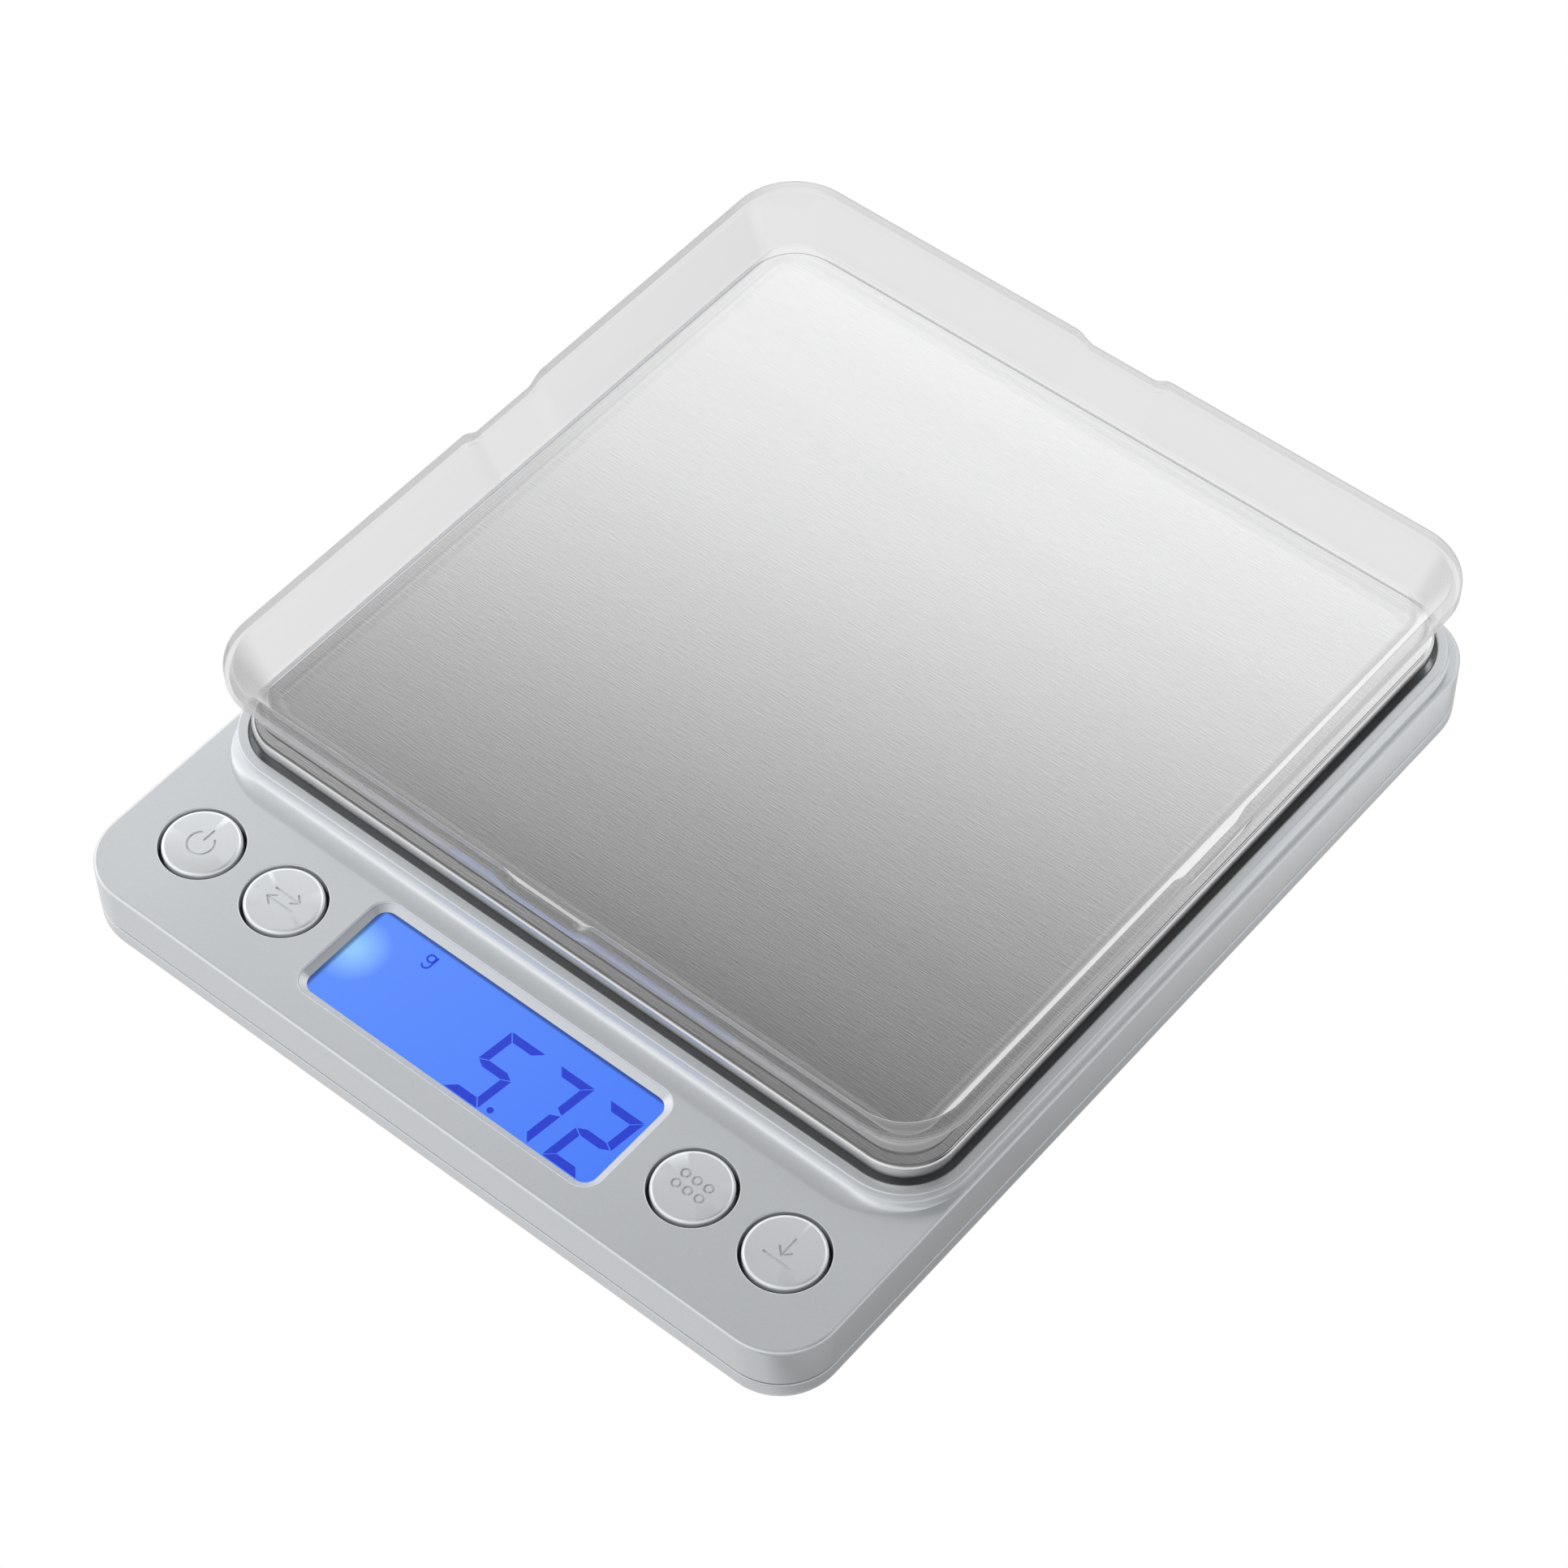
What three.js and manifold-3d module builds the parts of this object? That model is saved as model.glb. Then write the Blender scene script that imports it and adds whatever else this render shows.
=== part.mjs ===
// Digital gram scale: a flat silver body with a raised plinth, a stainless platform
// on a load cell, a clear lift-off tray, a backlit display and four round keys.
//
// Millimetres, +Z up. X runs along the front edge, from the power key to the tare key,
// and Y runs from the front to the back. The origin is on the surface that the feet
// stand on, under the middle of the body.

import * as THREE from 'three';
import { mergeVertices } from 'three/addons/utils/BufferGeometryUtils.js';
import Module from 'manifold-3d';

const wasm = await Module();
wasm.setup();

// ---------------------------------------------------------------- driving dimensions

// Fits
const FIT = 0.3; // running and seating clearance between fitted pieces
const OVERLAP = 0.4; // how far joined shapes run into each other

// Body
const BODY_WIDTH = 106;
const BODY_DEPTH = 127;
const BODY_CORNER = 7.5;
const LOWER_EDGE_RADIUS = 2.5;
const PANEL_EDGE_RADIUS = 0.6;
const FOOT_STAND = 1.0; // height of the body's underside above the table
const UPPER_HEIGHT = 3.4; // parting line to front panel
const LIP = 1.2; // how far the lower half's lip stands up inside the upper half
const WALL = 1.8;
const FLOOR = 1.6;
const PANEL = 1.6;

// Plinth round the platform
const PLINTH_RISE = 2.1;
const PLINTH_INSET = 0.9; // from the body's sides and back
const PLINTH_CORNER = 8.4;
const PLINTH_RIM = 1.4;
const PLINTH_EDGE = 0.15;
const PLINTH_FACE = 0.35; // upright face between the sweep and the plinth's edge
const FRONT_PANEL_DEPTH = 22.2; // body front to plinth front
const FILLET_REACH = 2.8; // concave sweep from the plinth down to the front panel
const WELL_DEPTH = 2.4; // plinth top to the deck under the platform

// Platform
const PLATFORM_GAP = 0.4; // round the platform, inside the plinth
const PLATFORM_LIFT = 0.4; // skirt's lower edge above the plinth
const PLATE_SHEET = 0.5;
const PLATE_SKIRT = 1.9;
const PLATE_EDGE_RADIUS = 0.4;
const CARRIER_SHEET = 1.0;
const CARRIER_WALL = 1.4;
const CARRIER_SKIRT = 2.0;
const RIB = 1.2;
const RIB_SPREAD = 22; // front rib from the platform's middle
const BOSS_DEPTH = 2.4; // under the heads of the two screws in the boss

// Tray
const TRAY_HEIGHT = 10.2;
const TRAY_WALL = 1.4;
const TRAY_FLOOR = 1.4;
const TRAY_FOOT_INSET = 1.1; // tray's foot inside the platform's edge
const TRAY_OVERHANG = 2.1; // tray's rim outside the platform's edge
const TRAY_LIP = 0.6;
const TRAY_LIP_HEIGHT = 1.8;
const TRAY_LIP_EDGE = 0.4;
const TRAY_CORNER = 8.6;
const TRAY_FILLET = 2.4;
const TRAY_FOOT_RADIUS = 1.2;
const NOTCH_LENGTH = 14;
const NOTCH_DEPTH = 1.2;

// Load cell
const CELL_LENGTH = 52;
const CELL_WIDTH = 12;
const CELL_HEIGHT = 6;
const CELL_BORE_RADIUS = 2.1;
const CELL_BORE_SPREAD = 5.5;
const CELL_SLOT = 1.2;
const CELL_END = 14; // length of each clamped end
const CELL_SCREW_PITCH = 7;
const GAUGE_LENGTH = 12;
const GAUGE_WIDTH = 8;
const GAUGE_COAT = 0.3;

// Screws
const SCREW_RADIUS = 1.4;
const SCREW_HEAD_RADIUS = 2.7;
const SCREW_HEAD_HEIGHT = 1.2;
const PCB_SCREW_RADIUS = 0.8;
const PCB_SCREW_HEAD_RADIUS = 1.8;
const PCB_SCREW_HEAD_HEIGHT = 1.0;
const SCREW_BEVEL = 0.4;
const POST_WALL = 0.9;
const CASE_POST_HEIGHT = 2.3; // above the floor
const CASE_SCREW_SIDE = 7; // from the body's side
const CASE_SCREW_FRONT = 27.5; // from the body's front
const CASE_SCREW_BACK = 6.5; // from the body's back

// Feet
const FOOT_RADIUS = 5;
const FOOT_RECESS = 0.4;
const FOOT_BEVEL = 0.5;
const FOOT_SIDE = 9; // foot centre from the body's side
const FOOT_FRONT = 9; // foot centre from the body's front
const FOOT_BACK = 18.5; // foot centre from the body's back

// Keys and switches
const KEY_RADIUS = 4.65;
const KEY_PROUD = 0.3;
const KEY_EDGE = 0.5;
const KEY_FLANGE = 0.8; // wider than the hole
const KEY_FLANGE_HEIGHT = 0.7;
const KEY_TRAVEL = 0.5;
const KEY_SIDE = 10.2; // outer key's centre from the body's side
const KEY_PITCH = 12.8;
const CONTROL_FROM_FRONT = 11.6; // centre line of keys and display
const SWITCH_SIZE = 6;
const SWITCH_HEIGHT = 2.3;
const PLUNGER_RADIUS = 1.3;

// Display
const VIEW_WIDTH = 43;
const VIEW_HEIGHT = 13.7;
const VIEW_CORNER = 1.6;
const BEZEL = 0.9; // sloped border of the window
const BEZEL_DEPTH = 0.7;
const LENS = 0.8;
const LENS_BORDER = 1.3;
const LCD_WIDTH = 44.8;
const LCD_HEIGHT = 15.6;
const LCD_GLASS = 1.7;
const HOLDER_WALL = 1.0;
const ZEBRA_WIDTH = 1.8;
const ZEBRA_LENGTH = 40;

// Circuit board
const PCB = 1.2;
const PCB_DROP = 5.6; // panel face to board face
const PCB_SIDE = 5.5; // board's ends from the body's sides
const PCB_HEIGHT = 18.4;
const PCB_BOSS_FROM_FRONT = 18.3;
const DOME_RADIUS = 6;
const DOME_HEIGHT = 1.3;
const DOME_X = 4;
const CONVERTER_CHIP = { x: 18, y: 0, size: [5, 4, 1.3] };
const CLOCK_CRYSTAL = { x: -9, y: 2, size: [4.6, 2, 1.4] };
const BUFFER_CAPACITOR = { x: -18, y: 0, size: [3.2, 1.8, 1.5] };

// Batteries
const CELL_AAA_RADIUS = 5.25;
const CELL_AAA_LENGTH = 44.5;
const AAA_NUB = 1.0;
const AAA_NUB_RADIUS = 1.9;
const AAA_GAP = 0.5;
const AAA_BEVEL = 0.5;
const BAY_WALL = 1.2;
const BAY_ROOF = 0.7;
const BAY_CLEARANCE = 0.9; // between the bay's walls and the platform's ribs
const ROOF_CLEARANCE = 0.4; // above the bay's roof, room for the platform to sink
const CONTACT = 0.5;
const CONTACT_WIDTH = 7;
const SPRING_LENGTH = 3.6;
const SPRING_WIRE = 0.32;
const SPRING_TURNS = 3;
const SPRING_ROOT_RADIUS = 3.0;
const SPRING_TIP_RADIUS = 1.6;

// Battery cover
const COVER = 1.0;
const COVER_RECESS = 0.1;
const COVER_RAIL = 0.9;
const COVER_RAIL_WIDTH = 1.8;
const COVER_LEDGE = 0.8;
const COVER_FRONT_LAP = 1.4;
const COVER_BACK_INSET = 2.3;
const GRIP_GROOVES = 3;
const GRIP_LENGTH = 16;
const GRIP_WIDTH = 1.2;
const GRIP_PITCH = 2.4;
const GRIP_DEPTH = 0.35;
const GRIP_FROM_BACK = 3;

// Leads
const LEAD_RADIUS = 0.55;
const LEAD_SIDES = 8;
const LEAD_PITCH = 2.6;
const LEAD_FROM_BOSS = 3.2; // nearest lead to the board's left boss

// ------------------------------------------------------------------- derived places

const halfWidth = BODY_WIDTH / 2;
const halfDepth = BODY_DEPTH / 2;
const front = -halfDepth;
const back = halfDepth;

// The batteries set the height: the platform's carrier clears the roof of their bay, and
// the plinth, the panel and the parting line follow from the platform.
const underZ = FOOT_STAND;
const floorZ = underZ + FLOOR;
const coverZ = underZ + COVER_RECESS;
const coverTopZ = coverZ + COVER;
const grooveTopZ = coverTopZ + COVER_RAIL + FIT;
const aaaZ = coverTopZ + FIT + CELL_AAA_RADIUS;
const bayTopZ = aaaZ + CELL_AAA_RADIUS + FIT;
const carrierUnderZ = bayTopZ + BAY_ROOF + ROOF_CLEARANCE;
const plateUnderZ = carrierUnderZ + CARRIER_SHEET;
const platformZ = plateUnderZ + PLATE_SHEET;
const skirtZ = platformZ - PLATE_SKIRT;
const plinthZ = skirtZ - PLATFORM_LIFT;
const deckZ = plinthZ - WELL_DEPTH;
const panelZ = plinthZ - PLINTH_RISE;
const panelUnderZ = panelZ - PANEL;
const partingZ = panelZ - UPPER_HEIGHT;

const plinthX = halfWidth - PLINTH_INSET;
const plinthFront = front + FRONT_PANEL_DEPTH;
const plinthBack = back - PLINTH_INSET;
const plinthMidY = (plinthFront + plinthBack) / 2;
const plinthY = (plinthBack - plinthFront) / 2;
const wellX = plinthX - PLINTH_RIM;
const wellY = plinthY - PLINTH_RIM;
const plateX = wellX - PLATFORM_GAP;
const plateY = wellY - PLATFORM_GAP;
const plateCorner = PLINTH_CORNER - PLINTH_RIM - PLATFORM_GAP;

// The load cell's top gauge just clears the deck, and a pad on the floor carries its end.
const cellTopZ = panelUnderZ - FIT - GAUGE_COAT;
const cellZ = cellTopZ - CELL_HEIGHT;
const cellScrewX = CELL_LENGTH / 2 - CELL_END / 2;
const cellScrewXs = [cellScrewX - CELL_SCREW_PITCH / 2, cellScrewX + CELL_SCREW_PITCH / 2];

const controlY = front + CONTROL_FROM_FRONT;
const keyOuterX = halfWidth - KEY_SIDE;
const keyInnerX = keyOuterX - KEY_PITCH;
const pcbTopZ = panelZ - PCB_DROP;
const pcbZ = pcbTopZ - PCB;
const pcbBossY = front + PCB_BOSS_FROM_FRONT;
const pcbBossX = (keyInnerX + keyOuterX) / 2;
const pcbX = halfWidth - PCB_SIDE;

const lensWidth = VIEW_WIDTH + 2 * LENS_BORDER;
const lensHeight = VIEW_HEIGHT + 2 * LENS_BORDER;
const lensTopZ = panelZ - BEZEL_DEPTH;
const lcdTopZ = lensTopZ - LENS - FIT;
const lcdZ = lcdTopZ - LCD_GLASS;
const zebraY = controlY - LCD_HEIGHT / 2 + ZEBRA_WIDTH / 2;

const carrierX = plateX - PLATE_SHEET - FIT;
const carrierY = plateY - PLATE_SHEET - FIT;
const carrierInnerX = carrierX - FIT - CARRIER_WALL;
const carrierInnerY = carrierY - FIT - CARRIER_WALL;

const bayX = (CELL_AAA_LENGTH + SPRING_LENGTH) / 2 + CONTACT + FIT * 1.5;
const bayBack = plinthMidY + carrierInnerY - BAY_CLEARANCE - BAY_WALL;
const aaaPitch = 2 * CELL_AAA_RADIUS + AAA_GAP;
const bayFront = bayBack - aaaPitch - 2 * (CELL_AAA_RADIUS + FIT);
const aaaBackY = bayBack - FIT - CELL_AAA_RADIUS;
const aaaFrontY = aaaBackY - aaaPitch;
const coverX = bayX + BAY_WALL + 2 * FIT;
const railX = coverX + COVER_RAIL_WIDTH;
const coverFront = bayFront - COVER_FRONT_LAP;
const coverBack = back - COVER_BACK_INSET;

// ------------------------------------------------------------------------- materials

function material(color, roughness, metalness, extra = {}) {
  return new THREE.MeshStandardMaterial({ color, roughness, metalness, ...extra });
}

const silverPaint = material(0xc9cccf, 0.42, 0.55);
const stainless = material(0xb9bab8, 0.3, 1.0);
const clearPlastic = material(0xf2f6f8, 0.06, 0.0, { transparent: true, opacity: 0.3 });
const blackPlastic = material(0x1b1c1e, 0.6, 0.0);
const greyPlastic = material(0x6d7073, 0.6, 0.0);
const whitePlastic = material(0xe6e6e0, 0.55, 0.0);
const aluminium = material(0xc4c7ca, 0.38, 1.0);
const zincSteel = material(0xa9adb0, 0.35, 1.0);
const nickel = material(0xc8c5bb, 0.25, 1.0);
const boardGreen = material(0x1f5a37, 0.5, 0.0);
const epoxyBlack = material(0x0d0d0f, 0.35, 0.0);
const lcdBlue = material(0x4f7dff, 0.15, 0.0, { emissive: 0x2f5cff });
const glowWhite = material(0xdfeaff, 0.4, 0.0, { emissive: 0x88aaff });
const greyRubber = material(0x7b7d80, 0.85, 0.0);
const zebraRubber = material(0xd98fa0, 0.8, 0.0);
const gaugeCoat = material(0xf1f0ea, 0.5, 0.0);
const batteryWrap = material(0x2b3136, 0.35, 0.2);
const redWire = material(0xb3201c, 0.45, 0.0);
const blackWire = material(0x141414, 0.45, 0.0);
const greyWire = material(0x9a9c9e, 0.5, 0.0);

// --------------------------------------------------------------------- shape helpers

/** A three.js geometry as a manifold-3d solid. */
function solid(geometry) {
  const bare = geometry.clone();
  bare.deleteAttribute('normal');
  bare.deleteAttribute('uv');
  const merged = mergeVertices(bare, 1e-4);
  return new wasm.Manifold(new wasm.Mesh({
    numProp: 3,
    vertProperties: new Float32Array(merged.attributes.position.array),
    triVerts: new Uint32Array(merged.index.array),
  }));
}

/** A manifold-3d solid as a three.js geometry. */
function geometryOf(manifold) {
  const { vertProperties, triVerts } = manifold.getMesh();
  const geometry = new THREE.BufferGeometry();
  geometry.setAttribute('position', new THREE.BufferAttribute(vertProperties, 3));
  geometry.setIndex(new THREE.BufferAttribute(triVerts, 1));
  return geometry;
}

/** The first shape joined with those in `joined`, then cut by those in `cuts`. */
function carve(shape, joined, cuts) {
  let result = solid(shape);
  for (const piece of joined) result = result.add(solid(piece));
  for (const piece of cuts) result = result.subtract(solid(piece));
  return geometryOf(result);
}

/** A box between two corners. */
function box([x0, x1], [y0, y1], [z0, z1]) {
  return new THREE.BoxGeometry(x1 - x0, y1 - y0, z1 - z0)
    .translate((x0 + x1) / 2, (y0 + y1) / 2, (z0 + z1) / 2);
}

/** An upright cylinder at (x, y). */
function post(radius, [z0, z1], x = 0, y = 0, sides = 16) {
  return new THREE.CylinderGeometry(radius, radius, z1 - z0, sides)
    .rotateX(Math.PI / 2)
    .translate(x, y, (z0 + z1) / 2);
}

/** A turned shape on the Z axis, from an outline of [radius, height] points. */
function turned(outline, sides = 20) {
  const points = outline.map(([radius, height]) => new THREE.Vector2(radius, height));
  return new THREE.LatheGeometry(points, sides).rotateX(Math.PI / 2);
}

/** Points round a rectangle with rounded corners, anticlockwise seen from above. */
function ring({ x, y0, y1, r }, steps) {
  const quarters = [[x - r, y1 - r], [r - x, y1 - r], [r - x, y0 + r], [x - r, y0 + r]];
  return quarters.flatMap(([centreX, centreY], quarter) => (
    Array.from({ length: steps + 1 }, (_, i) => {
      const angle = (quarter + i / steps) * (Math.PI / 2);
      return [centreX + r * Math.cos(angle), centreY + r * Math.sin(angle)];
    })
  ));
}

/** A closed solid through rounded rectangles at rising heights. */
function loft(levels, steps = 6) {
  const rings = levels.map((level) => ring(level, steps));
  const count = rings[0].length;
  const positions = [];
  const indices = [];
  rings.forEach((points, i) => {
    for (const [x, y] of points) positions.push(x, y, levels[i].z);
  });
  for (let i = 0; i + 1 < rings.length; i += 1) {
    for (let j = 0; j < count; j += 1) {
      const a = i * count + j;
      const b = i * count + ((j + 1) % count);
      indices.push(a, b, b + count, a, b + count, a + count);
    }
  }
  const last = (rings.length - 1) * count;
  for (let j = 1; j + 1 < count; j += 1) {
    indices.push(0, j + 1, j, last, last + j, last + j + 1);
  }
  const geometry = new THREE.BufferGeometry();
  geometry.setAttribute('position', new THREE.Float32BufferAttribute(positions, 3));
  geometry.setIndex(indices);
  return geometry;
}

/** [inset, rise] steps of a quarter round of radius r, from its flat face to its side. */
function quarterRound(r, steps) {
  return Array.from({ length: steps + 1 }, (_, i) => {
    const angle = (i / steps) * (Math.PI / 2);
    return [r * (1 - Math.sin(angle)), r * (1 - Math.cos(angle))];
  });
}

/** The body's outline at height z, moved in by `inset`. */
function bodyLevel(z, inset) {
  return {
    z, x: halfWidth - inset, y0: front + inset, y1: back - inset, r: BODY_CORNER - inset,
  };
}

/** An outline centred on the platform, at height z. */
function platformLevel(z, x, y, r) {
  return { z, x, y0: plinthMidY - y, y1: plinthMidY + y, r };
}

/** An outline centred on the display, at height z. */
function displayLevel(z, width, height, r) {
  return { z, x: width / 2, y0: controlY - height / 2, y1: controlY + height / 2, r };
}

/** A round lead along a smooth curve through the points. */
function lead(points, radius) {
  const path = new THREE.CatmullRomCurve3(points.map((point) => new THREE.Vector3(...point)));
  const section = new THREE.Shape(
    Array.from({ length: LEAD_SIDES }, (_, i) => {
      const angle = (i / LEAD_SIDES) * 2 * Math.PI;
      return new THREE.Vector2(radius * Math.cos(angle), radius * Math.sin(angle));
    }),
  );
  const steps = points.length * 3;
  return new THREE.ExtrudeGeometry(section, { steps, extrudePath: path, curveSegments: 1 });
}

// ------------------------------------------------------------------------- housings

const caseScrewSpots = [-1, 1].flatMap((side) => [
  [side * (halfWidth - CASE_SCREW_SIDE), front + CASE_SCREW_FRONT],
  [side * (halfWidth - CASE_SCREW_SIDE), back - CASE_SCREW_BACK],
]);
const pcbScrewSpots = [-1, 1].map((side) => [side * pcbBossX, pcbBossY]);
const footSpots = [-1, 1].flatMap((side) => [
  [side * (halfWidth - FOOT_SIDE), front + FOOT_FRONT],
  [side * (halfWidth - FOOT_SIDE), back - FOOT_BACK],
]);
const keySpots = {
  power: -keyOuterX, mode: -keyInnerX, count: keyInnerX, tare: keyOuterX,
};

const casePostZ = floorZ + CASE_POST_HEIGHT;
const caseHeadZ = casePostZ - POST_WALL;
const cellHeadZ = underZ + FIT + SCREW_HEAD_HEIGHT;

function bottomHousing() {
  const shell = loft([
    ...quarterRound(LOWER_EDGE_RADIUS, 3).map(([inset, rise]) => bodyLevel(underZ + rise, inset)),
    bodyLevel(partingZ - FIT / 2, 0),
    bodyLevel(partingZ - FIT / 2, (WALL + FIT) / 2),
    bodyLevel(partingZ + LIP, (WALL + FIT) / 2),
  ]);
  const hollow = loft([bodyLevel(floorZ, WALL), bodyLevel(partingZ + LIP + 1, WALL)]);
  const inside = [floorZ - OVERLAP, bayTopZ + BAY_ROOF];
  const joined = [
    box([-CELL_LENGTH / 2 - 1, -CELL_LENGTH / 2 + CELL_END],
      [plinthMidY - CELL_WIDTH / 2 - 1, plinthMidY + CELL_WIDTH / 2 + 1],
      [floorZ - OVERLAP, cellZ]),
    box([-bayX - BAY_WALL, bayX + BAY_WALL], [bayFront - BAY_WALL, bayBack + BAY_WALL], inside),
    box([-railX - FIT - BAY_WALL, railX + FIT + BAY_WALL],
      [coverFront - FIT - BAY_WALL, back - WALL + OVERLAP],
      [floorZ - OVERLAP, grooveTopZ + BAY_ROOF]),
    ...caseScrewSpots.map(([x, y]) => (
      post(SCREW_HEAD_RADIUS + FIT + POST_WALL, [floorZ - OVERLAP, casePostZ], x, y))),
  ];
  const cuts = [
    box([-bayX, bayX], [bayFront, bayBack], [underZ - 1, bayTopZ]),
    box([-coverX - FIT, coverX + FIT], [coverFront - FIT, back + 1], [underZ - 1, grooveTopZ]),
    box([-railX - FIT, railX + FIT], [coverFront - FIT, back + 1],
      [underZ + COVER_LEDGE, grooveTopZ]),
    ...footSpots.map(([x, y]) => (
      post(FOOT_RADIUS + FIT, [underZ - 1, underZ + FOOT_RECESS], x, y, 20))),
    ...caseScrewSpots.flatMap(([x, y]) => [
      post(SCREW_HEAD_RADIUS + FIT, [underZ - 1, caseHeadZ], x, y),
      post(SCREW_RADIUS + FIT, [underZ - 1, casePostZ + 1], x, y),
    ]),
    ...cellScrewXs.flatMap((x) => [
      post(SCREW_HEAD_RADIUS + FIT, [underZ - 1, cellHeadZ], -x, plinthMidY),
      post(SCREW_RADIUS + FIT, [underZ - 1, cellZ + 1], -x, plinthMidY),
    ]),
  ];
  const open = geometryOf(solid(shell).subtract(solid(hollow)));
  return carve(open, joined, cuts);
}

/** The concave sweep from the plinth's rim down to the panel, as rising outlines. */
function plinthLevels() {
  const drop = PLINTH_RISE - PLINTH_EDGE - PLINTH_FACE;
  const steps = 5;
  const sweep = Array.from({ length: steps + 1 }, (_, i) => {
    const angle = (i / steps) * (Math.PI / 2);
    const spread = FILLET_REACH * (1 - Math.sin(angle));
    return {
      z: panelZ + drop * (1 - Math.cos(angle)),
      x: Math.min(plinthX + spread, halfWidth - PANEL_EDGE_RADIUS),
      y0: plinthFront - spread,
      y1: Math.min(plinthBack + spread, back - PANEL_EDGE_RADIUS),
      r: PLINTH_CORNER + spread,
    };
  });
  const rim = platformLevel(plinthZ - PLINTH_EDGE, plinthX, plinthY, PLINTH_CORNER);
  const top = platformLevel(plinthZ, plinthX - PLINTH_EDGE, plinthY - PLINTH_EDGE,
    PLINTH_CORNER - PLINTH_EDGE);
  return [{ ...sweep[0], z: panelZ - OVERLAP }, ...sweep, rim, top];
}

function topHousing() {
  const shell = loft([
    bodyLevel(partingZ + FIT / 2, 0),
    ...quarterRound(PANEL_EDGE_RADIUS, 2).reverse()
      .map(([inset, rise]) => bodyLevel(panelZ - rise, inset)),
  ]);
  const caseBoss = SCREW_RADIUS + FIT + POST_WALL;
  const pcbBoss = PCB_SCREW_RADIUS + FIT + POST_WALL;
  const hollow = loft([
    bodyLevel(partingZ - 1, (WALL - FIT) / 2),
    bodyLevel(partingZ + LIP + FIT, (WALL - FIT) / 2),
    bodyLevel(partingZ + LIP + FIT, WALL),
    bodyLevel(panelUnderZ, WALL),
  ]);
  const open = geometryOf(solid(shell).add(solid(loft(plinthLevels()))).subtract(solid(hollow)));
  const joined = [
    ...caseScrewSpots.map(([x, y]) => (
      post(caseBoss, [casePostZ + FIT, panelUnderZ + OVERLAP], x, y))),
    ...pcbScrewSpots.map(([x, y]) => (
      post(pcbBoss, [pcbTopZ, panelUnderZ + OVERLAP], x, y))),
  ];
  const through = [partingZ - 1, plinthZ + 1];
  const bossY = CELL_WIDTH / 2 + 1;
  const cuts = [
    loft([platformLevel(deckZ, wellX, wellY, PLINTH_CORNER - PLINTH_RIM),
      platformLevel(plinthZ + 1, wellX, wellY, PLINTH_CORNER - PLINTH_RIM)]),
    box([CELL_LENGTH / 2 - CELL_END - 2 * FIT, CELL_LENGTH / 2 + 1],
      [plinthMidY - bossY, plinthMidY + bossY], through),
    box([-bayX - BAY_WALL - FIT, bayX + BAY_WALL + FIT],
      [bayFront - BAY_WALL - FIT, bayBack + BAY_WALL + FIT], through),
    loft([
      displayLevel(panelUnderZ - 1, VIEW_WIDTH, VIEW_HEIGHT, VIEW_CORNER),
      displayLevel(panelZ - BEZEL_DEPTH, VIEW_WIDTH, VIEW_HEIGHT, VIEW_CORNER),
      displayLevel(panelZ, VIEW_WIDTH + 2 * BEZEL, VIEW_HEIGHT + 2 * BEZEL, VIEW_CORNER + BEZEL),
      displayLevel(panelZ + 1, VIEW_WIDTH + 2 * BEZEL, VIEW_HEIGHT + 2 * BEZEL,
        VIEW_CORNER + BEZEL),
    ], 5),
    loft([
      displayLevel(panelUnderZ - 1, lensWidth + 2 * FIT, lensHeight + 2 * FIT, VIEW_CORNER),
      displayLevel(panelZ - BEZEL_DEPTH, lensWidth + 2 * FIT, lensHeight + 2 * FIT, VIEW_CORNER),
    ], 4),
    ...Object.values(keySpots).map((x) => (
      post(KEY_RADIUS + FIT, [panelUnderZ - 1, panelZ + 1], x, controlY, 28))),
    ...caseScrewSpots.map(([x, y]) => (
      post(SCREW_RADIUS + FIT, [casePostZ, panelUnderZ - 2 * FIT], x, y))),
    ...pcbScrewSpots.map(([x, y]) => (
      post(PCB_SCREW_RADIUS + FIT, [pcbTopZ - 1, panelUnderZ - FIT], x, y))),
  ];
  return carve(open, joined, cuts);
}

/** The sliding cover: a flat door with a rail along each side that runs above a ledge. */
function batteryCover() {
  const door = box([-coverX, coverX], [coverFront, coverBack], [coverZ, coverTopZ]);
  const rails = [-1, 1].map((side) => {
    const edges = [side * (coverX - COVER_RAIL_WIDTH / 2), side * railX].sort((a, b) => a - b);
    return box(edges, [coverFront, coverBack], [coverTopZ - COVER / 10, coverTopZ + COVER_RAIL]);
  });
  const grooves = Array.from({ length: GRIP_GROOVES }, (_, i) => {
    const y = coverBack - GRIP_FROM_BACK - GRIP_PITCH * i;
    return box([-GRIP_LENGTH / 2, GRIP_LENGTH / 2], [y - GRIP_WIDTH / 2, y + GRIP_WIDTH / 2],
      [coverZ - 1, coverZ + GRIP_DEPTH]);
  });
  return carve(door, rails, grooves);
}

/** A foot, which sits in a shallow recess and has a bevelled lower edge. */
function foot() {
  return turned([
    [0, 0], [FOOT_RADIUS - FOOT_BEVEL, 0], [FOOT_RADIUS, FOOT_BEVEL],
    [FOOT_RADIUS, FOOT_STAND + FOOT_RECESS], [0, FOOT_STAND + FOOT_RECESS],
  ]);
}

/** A pan-head screw pointing up, with its head's seat at z = 0. */
function screw(radius, headRadius, headHeight, length) {
  return turned([
    [0, -headHeight], [headRadius - SCREW_BEVEL, -headHeight],
    [headRadius, -headHeight + SCREW_BEVEL],
    [headRadius, 0], [radius, 0], [radius, length - radius], [radius * 0.4, length], [0, length],
  ], 12);
}

// ------------------------------------------------------------------------- platform

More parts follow.
